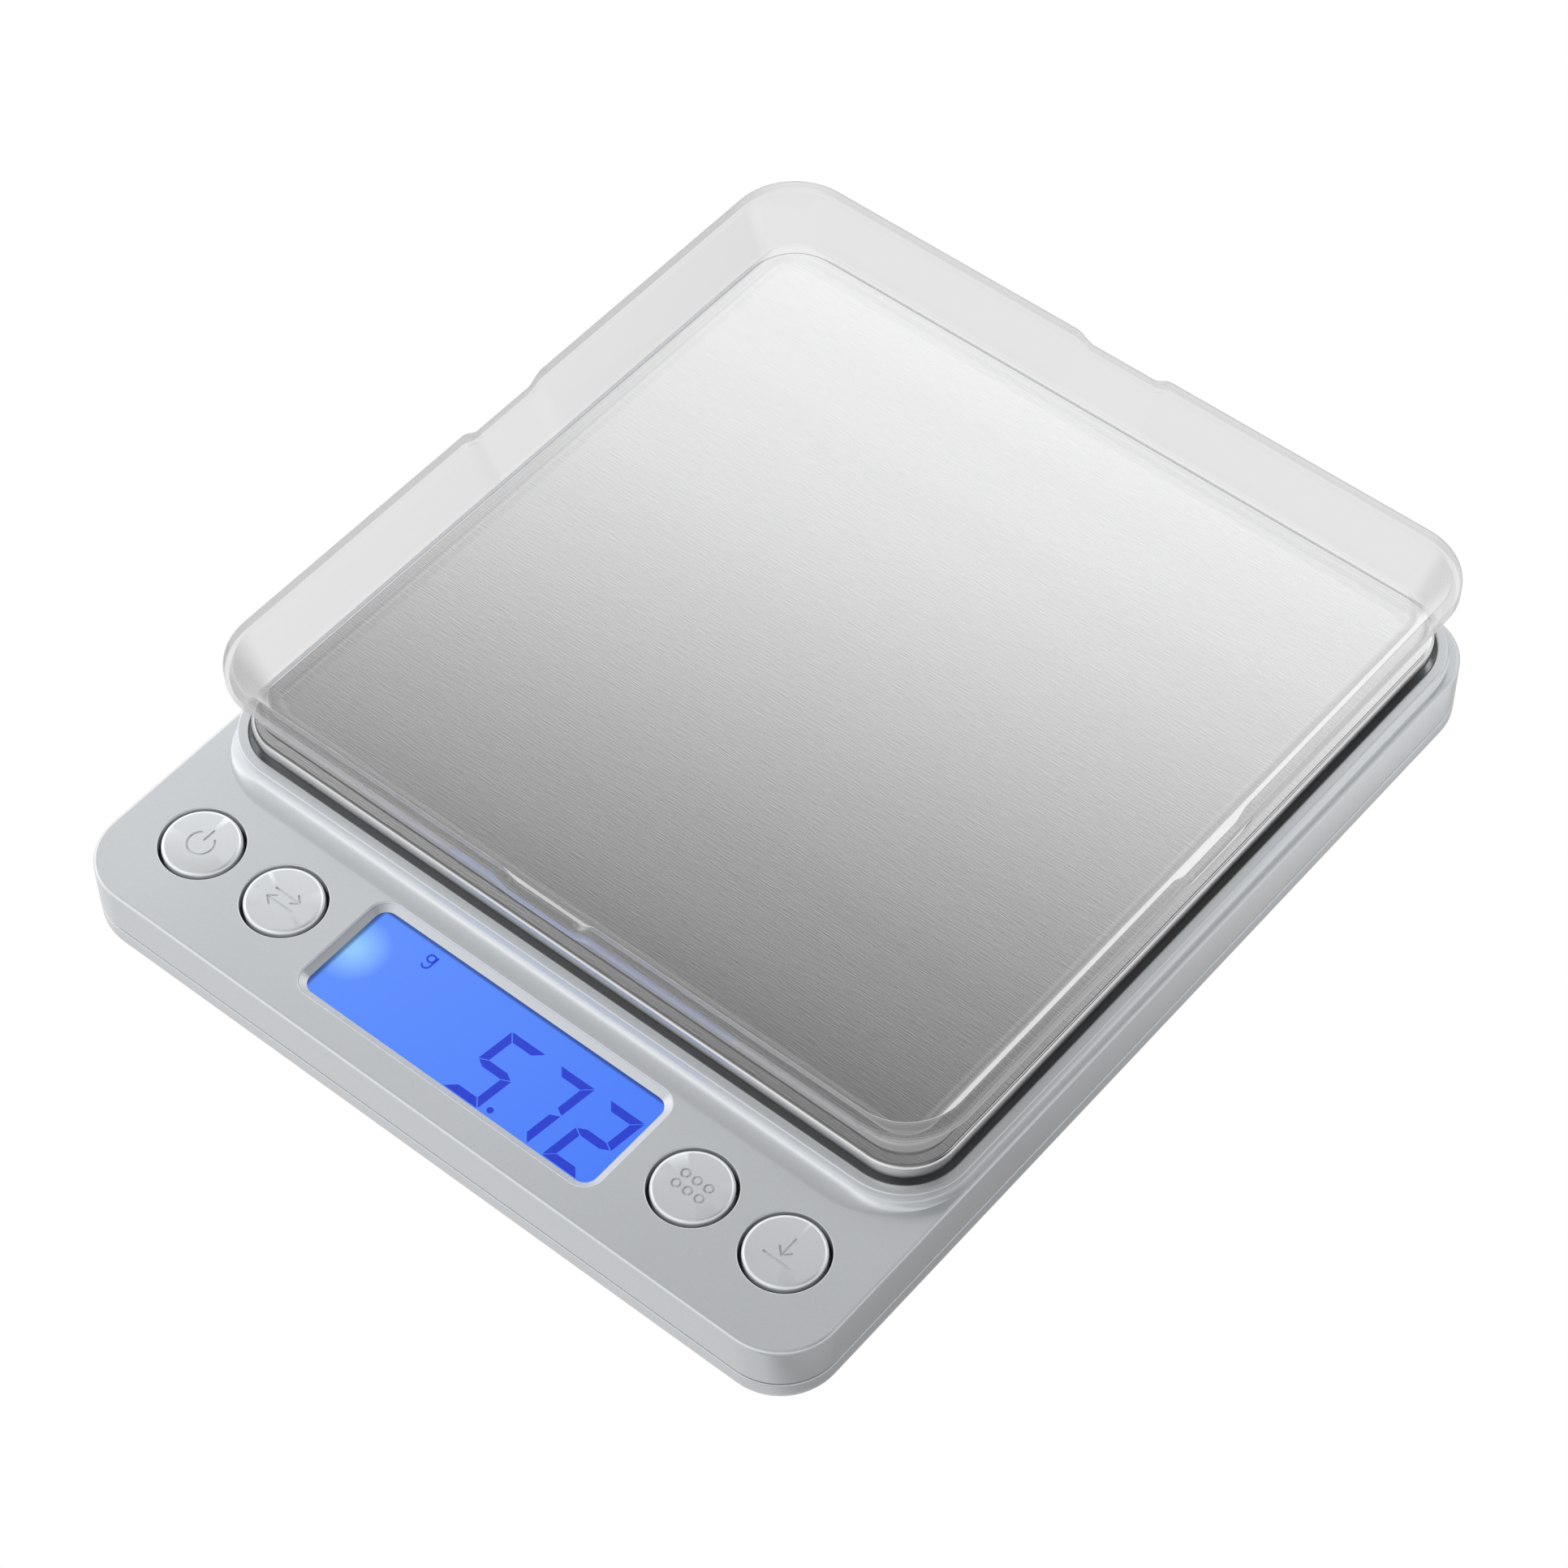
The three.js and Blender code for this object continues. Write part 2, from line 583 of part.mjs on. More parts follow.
function platePress() {
  const outside = loft([
    platformLevel(skirtZ, plateX, plateY, plateCorner),
    ...quarterRound(PLATE_EDGE_RADIUS, 2).reverse().map(([inset, rise]) => (
      platformLevel(platformZ - rise, plateX - inset, plateY - inset, plateCorner - inset))),
  ]);
  const x = plateX - PLATE_SHEET;
  const y = plateY - PLATE_SHEET;
  const r = plateCorner - PLATE_SHEET;
  const inside = loft([platformLevel(skirtZ - 1, x, y, r), platformLevel(plateUnderZ, x, y, r)]);
  return carve(outside, [], [inside]);
}

const carrierSkirtZ = carrierUnderZ - CARRIER_SKIRT;
const carrierSeatZ = cellTopZ + FIT; // underside of the boss, just clear of the load cell
const freeHeadZ = carrierSeatZ + BOSS_DEPTH;

function platformCarrier() {
  const r = plateCorner - PLATE_SHEET - FIT;
  const board = loft([
    platformLevel(carrierSkirtZ, carrierX - FIT, carrierY - FIT, r - FIT),
    platformLevel(carrierUnderZ, carrierX - FIT, carrierY - FIT, r - FIT),
    platformLevel(carrierUnderZ, carrierX, carrierY, r),
    platformLevel(plateUnderZ, carrierX, carrierY, r),
  ]);
  const innerR = r - FIT - CARRIER_WALL;
  const hollow = loft([
    platformLevel(carrierSkirtZ - 1, carrierInnerX, carrierInnerY, innerR),
    platformLevel(carrierUnderZ, carrierInnerX, carrierInnerY, innerR),
  ]);
  const open = geometryOf(solid(board).subtract(solid(hollow)));
  const ribZ = [carrierSkirtZ, carrierUnderZ + OVERLAP];
  const reachX = carrierInnerX + OVERLAP;
  const reachY = carrierInnerY + OVERLAP;
  const beside = bayX + BAY_WALL + BAY_CLEARANCE + RIB / 2;
  const behind = bayFront - BAY_WALL - BAY_CLEARANCE - RIB / 2;
  const ribs = [
    ...[-beside, beside].map((x) => (
      box([x - RIB / 2, x + RIB / 2], [plinthMidY - reachY, plinthMidY + reachY], ribZ))),
    ...[plinthMidY - RIB_SPREAD, behind].map((y) => (
      box([-reachX, reachX], [y - RIB / 2, y + RIB / 2], ribZ))),
  ];
  const boss = box([CELL_LENGTH / 2 - CELL_END, CELL_LENGTH / 2],
    [plinthMidY - CELL_WIDTH / 2, plinthMidY + CELL_WIDTH / 2],
    [carrierSeatZ, carrierUnderZ + OVERLAP]);
  const cuts = cellScrewXs.flatMap((x) => [
    post(SCREW_RADIUS + FIT, [carrierSeatZ - 1, plateUnderZ + 1], x, plinthMidY),
    post(SCREW_HEAD_RADIUS + FIT / 2, [freeHeadZ, plateUnderZ + 1], x, plinthMidY),
  ]);
  return carve(open, [...ribs, boss], cuts);
}

function loadCell() {
  const beam = box([-CELL_LENGTH / 2, CELL_LENGTH / 2],
    [plinthMidY - CELL_WIDTH / 2, plinthMidY + CELL_WIDTH / 2], [cellZ, cellTopZ]);
  const middle = (cellZ + cellTopZ) / 2;
  const bore = (x) => new THREE.CylinderGeometry(CELL_BORE_RADIUS, CELL_BORE_RADIUS,
    CELL_WIDTH + 2, 16).translate(x, plinthMidY, middle);
  const cuts = [
    bore(-CELL_BORE_SPREAD),
    bore(CELL_BORE_SPREAD),
    box([-CELL_BORE_SPREAD, CELL_BORE_SPREAD],
      [plinthMidY - CELL_WIDTH, plinthMidY + CELL_WIDTH],
      [middle - CELL_SLOT / 2, middle + CELL_SLOT / 2]),
    ...cellScrewXs.flatMap((x) => [
      post(SCREW_RADIUS + FIT, [cellZ - 1, cellTopZ - 1], -x, plinthMidY),
      post(SCREW_RADIUS + FIT, [cellZ + 1, cellTopZ + 1], x, plinthMidY),
    ]),
  ];
  return carve(beam, [], cuts);
}

function gaugePad(z) {
  return box([-GAUGE_LENGTH / 2, GAUGE_LENGTH / 2],
    [plinthMidY - GAUGE_WIDTH / 2, plinthMidY + GAUGE_WIDTH / 2], [z, z + GAUGE_COAT]);
}

// ----------------------------------------------------------------------------- tray

const trayTopZ = platformZ + TRAY_HEIGHT;
const lipZ = trayTopZ - TRAY_LIP_HEIGHT;

/** The tray's outline at height z, `spread` outside the platform's edge. */
function trayLevel(z, spread) {
  return platformLevel(z, plateX + spread, plateY + spread, TRAY_CORNER - TRAY_OVERHANG + spread);
}

function tray() {
  const wallSpread = TRAY_OVERHANG - TRAY_LIP;
  const outside = loft([
    ...quarterRound(TRAY_FOOT_RADIUS, 3).map(([inset, rise]) => (
      trayLevel(platformZ + rise, -TRAY_FOOT_INSET - inset))),
    trayLevel(lipZ - TRAY_LIP / 2, wallSpread),
    trayLevel(lipZ, TRAY_OVERHANG),
    trayLevel(trayTopZ - TRAY_LIP_EDGE, TRAY_OVERHANG),
    trayLevel(trayTopZ, TRAY_OVERHANG - TRAY_LIP_EDGE),
  ]);
  const floorTop = platformZ + TRAY_FLOOR;
  const footSpread = -TRAY_FOOT_INSET - TRAY_WALL + FIT;
  const inside = loft([
    ...quarterRound(TRAY_FILLET, 4).map(([inset, rise]) => (
      trayLevel(floorTop + rise, footSpread - inset))),
    trayLevel(trayTopZ, TRAY_OVERHANG - TRAY_WALL),
    trayLevel(trayTopZ + 1, TRAY_OVERHANG - TRAY_WALL),
  ]);
  const notchRadius = (NOTCH_LENGTH ** 2 / 4 + NOTCH_DEPTH ** 2) / (2 * NOTCH_DEPTH);
  const notchZ = trayTopZ + notchRadius - NOTCH_DEPTH;
  const reach = 2 * (plateY + TRAY_OVERHANG + 1);
  const notchY = new THREE.CylinderGeometry(notchRadius, notchRadius, reach, 96)
    .translate(0, plinthMidY, notchZ);
  const notchX = new THREE.CylinderGeometry(notchRadius, notchRadius, reach, 96)
    .rotateZ(Math.PI / 2)
    .translate(0, plinthMidY, notchZ);
  return carve(outside, [], [inside, notchX, notchY]);
}

// ------------------------------------------------------------------ display and keys

function lens() {
  return loft([
    displayLevel(lensTopZ - LENS, lensWidth, lensHeight, VIEW_CORNER - FIT),
    displayLevel(lensTopZ, lensWidth, lensHeight, VIEW_CORNER - FIT),
  ], 4);
}

function centredBox(width, [y0, y1], z) {
  return box([-width / 2, width / 2], [y0, y1], z);
}

function lcdGlass() {
  return centredBox(LCD_WIDTH, [controlY - LCD_HEIGHT / 2, controlY + LCD_HEIGHT / 2],
    [lcdZ, lcdTopZ]);
}

function lcdBacklight() {
  return centredBox(LCD_WIDTH, [zebraY + ZEBRA_WIDTH / 2 + FIT, controlY + LCD_HEIGHT / 2],
    [pcbTopZ, lcdZ]);
}

function zebraStrip() {
  return centredBox(ZEBRA_LENGTH, [zebraY - ZEBRA_WIDTH / 2, zebraY + ZEBRA_WIDTH / 2],
    [pcbTopZ, lcdZ]);
}

function lcdHolder() {
  const width = LCD_WIDTH + 2 * FIT;
  const height = LCD_HEIGHT + 2 * FIT;
  const outer = centredBox(width + 2 * HOLDER_WALL,
    [controlY - height / 2 - HOLDER_WALL, controlY + height / 2 + HOLDER_WALL],
    [pcbTopZ, lcdTopZ]);
  const inner = centredBox(width, [controlY - height / 2, controlY + height / 2],
    [pcbTopZ - 1, lcdTopZ + 1]);
  return carve(outer, [], [inner]);
}

const switchTopZ = pcbTopZ + SWITCH_HEIGHT;
const keyUnderZ = panelUnderZ - FIT - KEY_FLANGE_HEIGHT;
const plungerUnderZ = pcbTopZ + FIT + KEY_TRAVEL + FIT / 2;

function key() {
  const flange = KEY_RADIUS + KEY_FLANGE;
  const top = panelZ + KEY_PROUD;
  const shoulder = panelUnderZ - FIT;
  return turned([
    [0, keyUnderZ], [flange, keyUnderZ], [flange, shoulder], [KEY_RADIUS, shoulder],
    ...quarterRound(KEY_EDGE, 2).reverse().map(([inset, rise]) => [KEY_RADIUS - inset, top - rise]),
    [0, top],
  ], 28);
}

function switchBody() {
  const half = SWITCH_SIZE / 2;
  return carve(box([-half, half], [-half, half], [pcbTopZ, switchTopZ]), [],
    [post(PLUNGER_RADIUS + FIT, [pcbTopZ + FIT, switchTopZ + 1])]);
}

// -------------------------------------------------------------------- circuit board

function mainBoard() {
  const plate = centredBox(2 * pcbX, [controlY - PCB_HEIGHT / 2, controlY + PCB_HEIGHT / 2],
    [pcbZ, pcbTopZ]);
  return carve(plate, [], pcbScrewSpots.map(([x, y]) => (
    post(PCB_SCREW_RADIUS + FIT, [pcbZ - 1, pcbTopZ + 1], x, y))));
}

/** A component under the board, centred at (x, controlY + y). */
function underBoard({ x, y, size: [width, depth, height] }) {
  const middle = controlY + y;
  return box([x - width / 2, x + width / 2], [middle - depth / 2, middle + depth / 2],
    [pcbZ - height, pcbZ]);
}

/** The epoxy dome over the bare controller die, hanging under the board. */
function epoxyDome() {
  const outline = [0, 1, 2, 3].map((step) => {
    const angle = (step / 3) * (Math.PI / 2);
    return [DOME_RADIUS * Math.sin(angle), -DOME_HEIGHT * Math.cos(angle)];
  });
  return turned([...outline, [0, 0]]).translate(DOME_X, controlY, pcbZ);
}

// ------------------------------------------------------------------------ batteries

/** A battery lying along X, with its plus end at +X and its middle at the origin. */
function battery() {
  const start = -CELL_AAA_LENGTH / 2;
  const shoulder = CELL_AAA_LENGTH / 2 - AAA_NUB;
  const end = CELL_AAA_RADIUS - AAA_BEVEL;
  return turned([
    [0, start], [end, start], [CELL_AAA_RADIUS, start + AAA_BEVEL],
    [CELL_AAA_RADIUS, shoulder - AAA_BEVEL], [end, shoulder],
    [AAA_NUB_RADIUS, shoulder], [AAA_NUB_RADIUS, CELL_AAA_LENGTH / 2],
    [0, CELL_AAA_LENGTH / 2],
  ]).rotateY(Math.PI / 2);
}

/** A tapered coil along +X from the origin, wide at its root. */
function contactSpring() {
  class Coil extends THREE.Curve {
    getPoint(t, target = new THREE.Vector3()) {
      const angle = t * SPRING_TURNS * 2 * Math.PI;
      const radius = THREE.MathUtils.lerp(SPRING_ROOT_RADIUS, SPRING_TIP_RADIUS, t);
      const along = t * (SPRING_LENGTH - 2 * SPRING_WIRE);
      return target.set(along, radius * Math.cos(angle), radius * Math.sin(angle));
    }
  }
  const section = new THREE.Shape(
    Array.from({ length: 5 }, (_, i) => {
      const angle = (i / 5) * 2 * Math.PI;
      return new THREE.Vector2(SPRING_WIRE * Math.cos(angle), SPRING_WIRE * Math.sin(angle));
    }),
  );
  return new THREE.ExtrudeGeometry(section, {
    steps: SPRING_TURNS * 12, extrudePath: new Coil(), curveSegments: 1,
  });
}

const contactX = bayX - CONTACT - FIT / 2;

/** A contact plate at the +X end of the bay, over the batteries from y0 to y1. */
function contactPlate(y0, y1) {
  return box([contactX, contactX + CONTACT], [y0 - CONTACT_WIDTH / 2, y1 + CONTACT_WIDTH / 2],
    [aaaZ - CONTACT_WIDTH / 2, aaaZ + CONTACT_WIDTH / 2]);
}

/** A spring on a contact plate: its root sinks into the plate so the two are one. */
function springOn(y) {
  return contactSpring().rotateZ(Math.PI).translate(contactX + SPRING_WIRE / 2, y, aaaZ);
}

// ------------------------------------------------------------------------- assembly

const scale = new THREE.Group();

function group(parent, x = 0, y = 0, z = 0) {
  const child = new THREE.Group();
  child.position.set(x, y, z);
  parent.add(child);
  return child;
}

function add(parent, name, geometry, finish, x = 0, y = 0, z = 0) {
  const mesh = new THREE.Mesh(geometry, finish);
  mesh.name = name;
  mesh.position.set(x, y, z);
  parent.add(mesh);
  return mesh;
}

const housing = group(scale);
add(housing, 'top_housing', topHousing(), silverPaint);
add(housing, 'bottom_housing', bottomHousing(), silverPaint);
add(housing, 'battery_cover', batteryCover(), silverPaint);
footSpots.forEach(([x, y], i) => add(housing, `foot_${i + 1}`, foot(), greyRubber, x, y));
caseScrewSpots.forEach(([x, y], i) => {
  const length = panelUnderZ - 3 * FIT - caseHeadZ;
  const shape = screw(SCREW_RADIUS, SCREW_HEAD_RADIUS, SCREW_HEAD_HEIGHT, length);
  add(housing, `case_screw_${i + 1}`, shape, zincSteel, x, y, caseHeadZ);
});

const weighing = group(scale);
add(weighing, 'load_cell', loadCell(), aluminium);
add(weighing, 'gauge_coating_top', gaugePad(cellTopZ), gaugeCoat);
add(weighing, 'gauge_coating_bottom', gaugePad(cellZ - GAUGE_COAT), gaugeCoat);
cellScrewXs.forEach((x, i) => {
  const length = cellTopZ - 1 - FIT - cellHeadZ;
  const shape = screw(SCREW_RADIUS, SCREW_HEAD_RADIUS, SCREW_HEAD_HEIGHT, length);
  add(weighing, `cell_screw_fixed_${i + 1}`, shape, zincSteel, -x, plinthMidY, cellHeadZ);
});

const platform = group(scale);
add(platform, 'platform_plate', platePress(), stainless);
add(platform, 'platform_carrier', platformCarrier(), blackPlastic);
cellScrewXs.forEach((x, i) => {
  const length = freeHeadZ - (cellZ + 1) - 2 * FIT;
  const shape = screw(SCREW_RADIUS, SCREW_HEAD_RADIUS - FIT / 2, SCREW_HEAD_HEIGHT, length)
    .rotateX(Math.PI);
  add(platform, `cell_screw_free_${i + 1}`, shape, zincSteel, x, plinthMidY, freeHeadZ);
});
add(group(platform), 'tray', tray(), clearPlastic);

const controls = group(scale, 0, controlY);
for (const [name, x] of Object.entries(keySpots)) {
  add(controls, `button_${name}`, key(), silverPaint, x);
  add(controls, `switch_plunger_${name}`,
    post(PLUNGER_RADIUS, [plungerUnderZ, keyUnderZ]), blackPlastic, x);
  add(controls, `switch_body_${name}`, switchBody(), zincSteel, x);
}

const electronics = group(scale);
add(electronics, 'main_board', mainBoard(), boardGreen);
add(electronics, 'controller_dome', epoxyDome(), epoxyBlack);
add(electronics, 'converter_chip', underBoard(CONVERTER_CHIP), epoxyBlack);
add(electronics, 'clock_crystal', underBoard(CLOCK_CRYSTAL), nickel);
add(electronics, 'buffer_capacitor', underBoard(BUFFER_CAPACITOR), whitePlastic);
pcbScrewSpots.forEach(([x, y], i) => {
  const length = panelUnderZ - 2 * FIT - pcbZ;
  const shape = screw(PCB_SCREW_RADIUS, PCB_SCREW_HEAD_RADIUS, PCB_SCREW_HEAD_HEIGHT, length);
  add(electronics, `board_screw_${i + 1}`, shape, zincSteel, x, y, pcbZ);
});
add(electronics, 'display_window', lens(), clearPlastic);
add(electronics, 'lcd_glass', lcdGlass(), lcdBlue);
add(electronics, 'lcd_backlight', lcdBacklight(), glowWhite);
add(electronics, 'lcd_zebra_strip', zebraStrip(), zebraRubber);
add(electronics, 'lcd_holder', lcdHolder(), greyPlastic);

// The front battery has its plus end at +X and the back one at -X. Each lies against the
// flat contact at its plus end, and a spring fills the gap at its minus end.
const aaaShift = contactX - FIT - CELL_AAA_LENGTH / 2;
const power = group(scale, 0, 0, aaaZ);
add(power, 'battery_front', battery(), batteryWrap, aaaShift, aaaFrontY);
add(power, 'battery_back', battery(), batteryWrap, -aaaShift, aaaBackY).rotation.z = Math.PI;

const contacts = group(scale);
add(contacts, 'contact_bridge', carve(contactPlate(aaaFrontY, aaaBackY), [springOn(aaaBackY)], []),
  nickel);
const turnedRound = new THREE.Matrix4().makeRotationZ(Math.PI);
const minusEnd = carve(contactPlate(-aaaFrontY, -aaaFrontY), [springOn(-aaaFrontY)], []);
add(contacts, 'contact_minus', minusEnd.applyMatrix4(turnedRound), nickel);
add(contacts, 'contact_plus', contactPlate(-aaaBackY, -aaaBackY).applyMatrix4(turnedRound), nickel);

// Leads run under the deck, from outside the battery bay and from the load cell to the
// back edge of the circuit board.
const leadZ = pcbTopZ + LEAD_RADIUS + FIT / 2;
const boardEdge = controlY + PCB_HEIGHT / 2;
const bayOutside = -bayX - BAY_WALL - LEAD_RADIUS - FIT;
const leads = group(scale);
function batteryLead(y, x) {
  return lead([
    [bayOutside, y, aaaZ], [bayOutside - 0.2, y - 4, aaaZ - 0.4], [x, bayFront - 8, leadZ],
    [x, plinthMidY, leadZ], [x, boardEdge + 8, leadZ], [x, boardEdge - 2, leadZ],
  ], LEAD_RADIUS);
}
const firstLeadX = -pcbBossX + LEAD_FROM_BOSS;
add(leads, 'battery_lead_minus', batteryLead(aaaFrontY, firstLeadX + LEAD_PITCH), blackWire);
add(leads, 'battery_lead_plus', batteryLead(aaaBackY, firstLeadX), redWire);
const cellSide = plinthMidY - CELL_WIDTH / 2 - LEAD_RADIUS - FIT;
const cellLeadX = firstLeadX + 2 * LEAD_PITCH;
add(leads, 'load_cell_lead', lead([
  [0, cellSide, leadZ], [-8, cellSide - 3, leadZ], [cellLeadX + 3, plinthMidY - 20, leadZ],
  [cellLeadX, boardEdge + 12, leadZ], [cellLeadX, boardEdge + 1, leadZ],
  [cellLeadX, boardEdge - 2, leadZ],
], LEAD_RADIUS), greyWire);

export default scale;
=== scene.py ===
"""A digital gram scale: silver body, steel platform, clear tray, lit display and four keys.

Shapes are given in millimetres and scaled by MM. Places in shaders and lights are in metres.
"""

import math

import bmesh
import bpy
from mathutils import Matrix, Vector


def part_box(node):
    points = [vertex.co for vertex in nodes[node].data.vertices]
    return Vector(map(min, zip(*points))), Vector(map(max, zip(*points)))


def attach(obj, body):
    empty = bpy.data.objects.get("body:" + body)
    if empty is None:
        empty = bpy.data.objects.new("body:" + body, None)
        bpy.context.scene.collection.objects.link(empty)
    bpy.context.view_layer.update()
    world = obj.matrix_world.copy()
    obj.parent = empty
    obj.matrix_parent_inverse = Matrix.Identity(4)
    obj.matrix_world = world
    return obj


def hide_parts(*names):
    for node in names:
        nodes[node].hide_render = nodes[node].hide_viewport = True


MM = 0.001

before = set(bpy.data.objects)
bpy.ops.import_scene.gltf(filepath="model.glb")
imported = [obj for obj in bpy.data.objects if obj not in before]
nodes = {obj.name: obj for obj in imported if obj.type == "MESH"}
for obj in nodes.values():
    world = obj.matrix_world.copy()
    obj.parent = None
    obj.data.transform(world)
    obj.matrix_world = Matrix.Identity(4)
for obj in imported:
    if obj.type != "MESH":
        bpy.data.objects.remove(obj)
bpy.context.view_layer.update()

scene = bpy.context.scene
scene.view_settings.view_transform = "Standard"
scene.view_settings.look = "None"

# ------------------------------------------------------------------ camera and light


def camera(azimuth, elevation, distance, target, roll, lens):
    """A camera at a distance from target, turned about its own axis by roll degrees."""
    turn, rise = math.radians(azimuth), math.radians(elevation)
    back = Vector((
        math.sin(turn) * math.cos(rise), -math.cos(turn) * math.cos(rise), math.sin(rise),
    ))
    right = (-back).cross(Vector((0, 0, 1))).normalized()
    up = right.cross(-back)
    tilt = math.radians(roll)
    across = right * math.cos(tilt) + up * math.sin(tilt)
    upright = up * math.cos(tilt) - right * math.sin(tilt)
    data = bpy.data.cameras.new("camera")
    data.lens, data.sensor_width = lens, 36.0
    data.clip_start, data.clip_end = 0.01, 20.0
    holder = bpy.data.objects.new("camera", data)
    scene.collection.objects.link(holder)
    turned_to = Matrix((across, upright, back)).transposed().to_4x4()
    holder.matrix_world = Matrix.Translation(target + back * distance) @ turned_to
    scene.camera = holder


camera(azimuth=40.606, elevation=51.795, distance=507.157 * MM,
       target=Vector((1.96, -2.97, 10.0)) * MM, roll=-1.125, lens=101.9)


class Nodes:
    """A small builder for one material's or world's node tree."""

    def __init__(self, tree):
        self.tree = tree
        tree.nodes.clear()

    def add(self, kind, inputs=None, **settings):
        """Adds a node; an input's value is either another node's socket or a constant."""
        node = self.tree.nodes.new(kind)
        for key, value in settings.items():
            setattr(node, key, value)
        for key, value in (inputs or {}).items():
            if isinstance(value, bpy.types.NodeSocket):
                self.tree.links.new(value, node.inputs[key])
            else:
                node.inputs[key].default_value = value
        return node

    def math(self, operation, *values):
        node = self.add("ShaderNodeMath", dict(enumerate(values)), operation=operation)
        return node.outputs[0]

    def vector(self, operation, *values):
        node = self.add("ShaderNodeVectorMath", dict(enumerate(values)), operation=operation)
        return node.outputs["Vector"]

    def scaled(self, colour, share):
        node = self.add("ShaderNodeVectorMath", {0: colour, "Scale": share}, operation="SCALE")
        return node.outputs["Vector"]

    def length(self, x, y):
        """The length of the flat vector (x, y)."""
        squares = self.math("ADD", self.math("MULTIPLY", x, x), self.math("MULTIPLY", y, y))
        return self.math("SQRT", squares)

    def span(self, value, low, high, at_low=0.0, at_high=1.0):
        """Maps value from low..high to at_low..at_high, held level outside."""
        return self.add("ShaderNodeMapRange", {
            "Value": value, "From Min": low, "From Max": high, "To Min": at_low,
            "To Max": at_high,
        }).outputs["Result"]

    def ramp(self, factor, stops):
        node = self.add("ShaderNodeValToRGB", {"Fac": factor})
        points = node.color_ramp.elements
        while len(points) < len(stops):
            points.new(0.5)
        for point, (position, colour) in zip(points, stops):
            point.position = position
            point.color = (*colour, 1.0)
        return node.outputs["Color"]

    def mix(self, share, first, second):
        """A blend of two shaders, all second where the share is one."""
        node = self.add("ShaderNodeMixShader", {"Fac": share, 1: first, 2: second})
        return node.outputs["Shader"]

    def surface(self, shader):
        self.add("ShaderNodeOutputMaterial", {"Surface": shader})


def node_material(name):
    """An empty material and the builder of its nodes."""
    made = bpy.data.materials.new(name)
    made.use_nodes = True
    return made, Nodes(made.node_tree)


def grey(level):
    return (level, level, level)


# The studio as a flat picture overhead. A direction's place in it is its x and y over its
# height, a level is a brightness, and a fade is the two places between which a level comes in.
LOWEST_HEIGHT = 0.08
PANEL_SHIFT, PANEL_SKEW, PANEL_REACH = 0.639, 0.29, 2.0
PANEL_LEVELS = (
    (0.0, 1.4), (0.2, 1.4), (0.35, 0.42), (0.5, 0.21), (0.6, 0.105), (0.62, 0.21),
    (0.64, 0.64), (0.665, 1.28), (0.695, 1.66),
)
RIGHT_FADE, RIGHT_LEVEL = (0.1, 0.6), 0.65
LEFT_FADE, LEFT_LEVEL = (-0.9, -1.5), 1.5
LOW_FADE, LOW_LEVEL = (1.15, 2.0), 1.5
SIDE_X, SIDE_Y, SIDE_LEVEL = 0.45, 0.7, 1.3
SIDE_FADE_X, SIDE_FADE_Y = (0.15, 0.3), (0.25, 0.45)
FLAG_X, FLAG_Y, FLAG_LEVEL = 0.85, 0.4, 0.1
FLAG_FADE = (0.25, 0.55)
CEILING_FADE, CEILING_LEVEL, CEILING_LOW_LEVEL = (1.3, 2.3), 1.7, 0.95


def build_world():
    """A studio that is bright at the back and round the sides and dark overhead, with a
    small panel at the right, a dark flag beside it, and no level above its ceiling."""
    world = bpy.data.worlds.new("studio")
    world.use_nodes = True
    n = Nodes(world.node_tree)
    direction = n.add("ShaderNodeTexCoord").outputs["Generated"]
    axes = n.add("ShaderNodeSeparateXYZ", {"Vector": direction}).outputs
    height = n.math("MAXIMUM", axes["Z"], LOWEST_HEIGHT)
    across = n.math("DIVIDE", axes["X"], height)
    along = n.math("DIVIDE", axes["Y"], height)
    skew = n.math("MULTIPLY", n.math("ADD", across, PANEL_SHIFT), PANEL_SKEW)
    share = n.span(n.math("SUBTRACT", along, skew), -PANEL_REACH, PANEL_REACH)
    panels = n.ramp(share, [(place, grey(level)) for place, level in PANEL_LEVELS])
    dimmed = n.scaled(panels, n.span(across, *RIGHT_FADE, 1.0, RIGHT_LEVEL))
    left = n.span(across, *LEFT_FADE, 0.0, LEFT_LEVEL)
    reach = n.length(across, along)
    low = n.span(reach, *LOW_FADE, 0.0, LOW_LEVEL)
    side_x = n.math("ABSOLUTE", n.math("SUBTRACT", across, SIDE_X))
    side_y = n.math("ABSOLUTE", n.math("SUBTRACT", along, SIDE_Y))
    side = n.math("MULTIPLY", n.span(side_x, *SIDE_FADE_X, SIDE_LEVEL, 0.0),
                  n.span(side_y, *SIDE_FADE_Y, 1.0, 0.0))
    edge = n.math("MAXIMUM", n.math("MAXIMUM", left, low), side)
    flag_gap = n.length(n.math("SUBTRACT", across, FLAG_X), n.math("SUBTRACT", along, FLAG_Y))
    flag = n.span(flag_gap, *FLAG_FADE, FLAG_LEVEL, 1.0)
    ceiling = n.span(reach, *CEILING_FADE, CEILING_LEVEL, CEILING_LOW_LEVEL)
    held = n.vector("MINIMUM", n.vector("MAXIMUM", dimmed, edge), ceiling)
    light = n.add("ShaderNodeBackground", {"Color": held, "Strength": flag})
    n.add("ShaderNodeOutputWorld", {"Surface": light.outputs["Background"]})
    scene.world = world


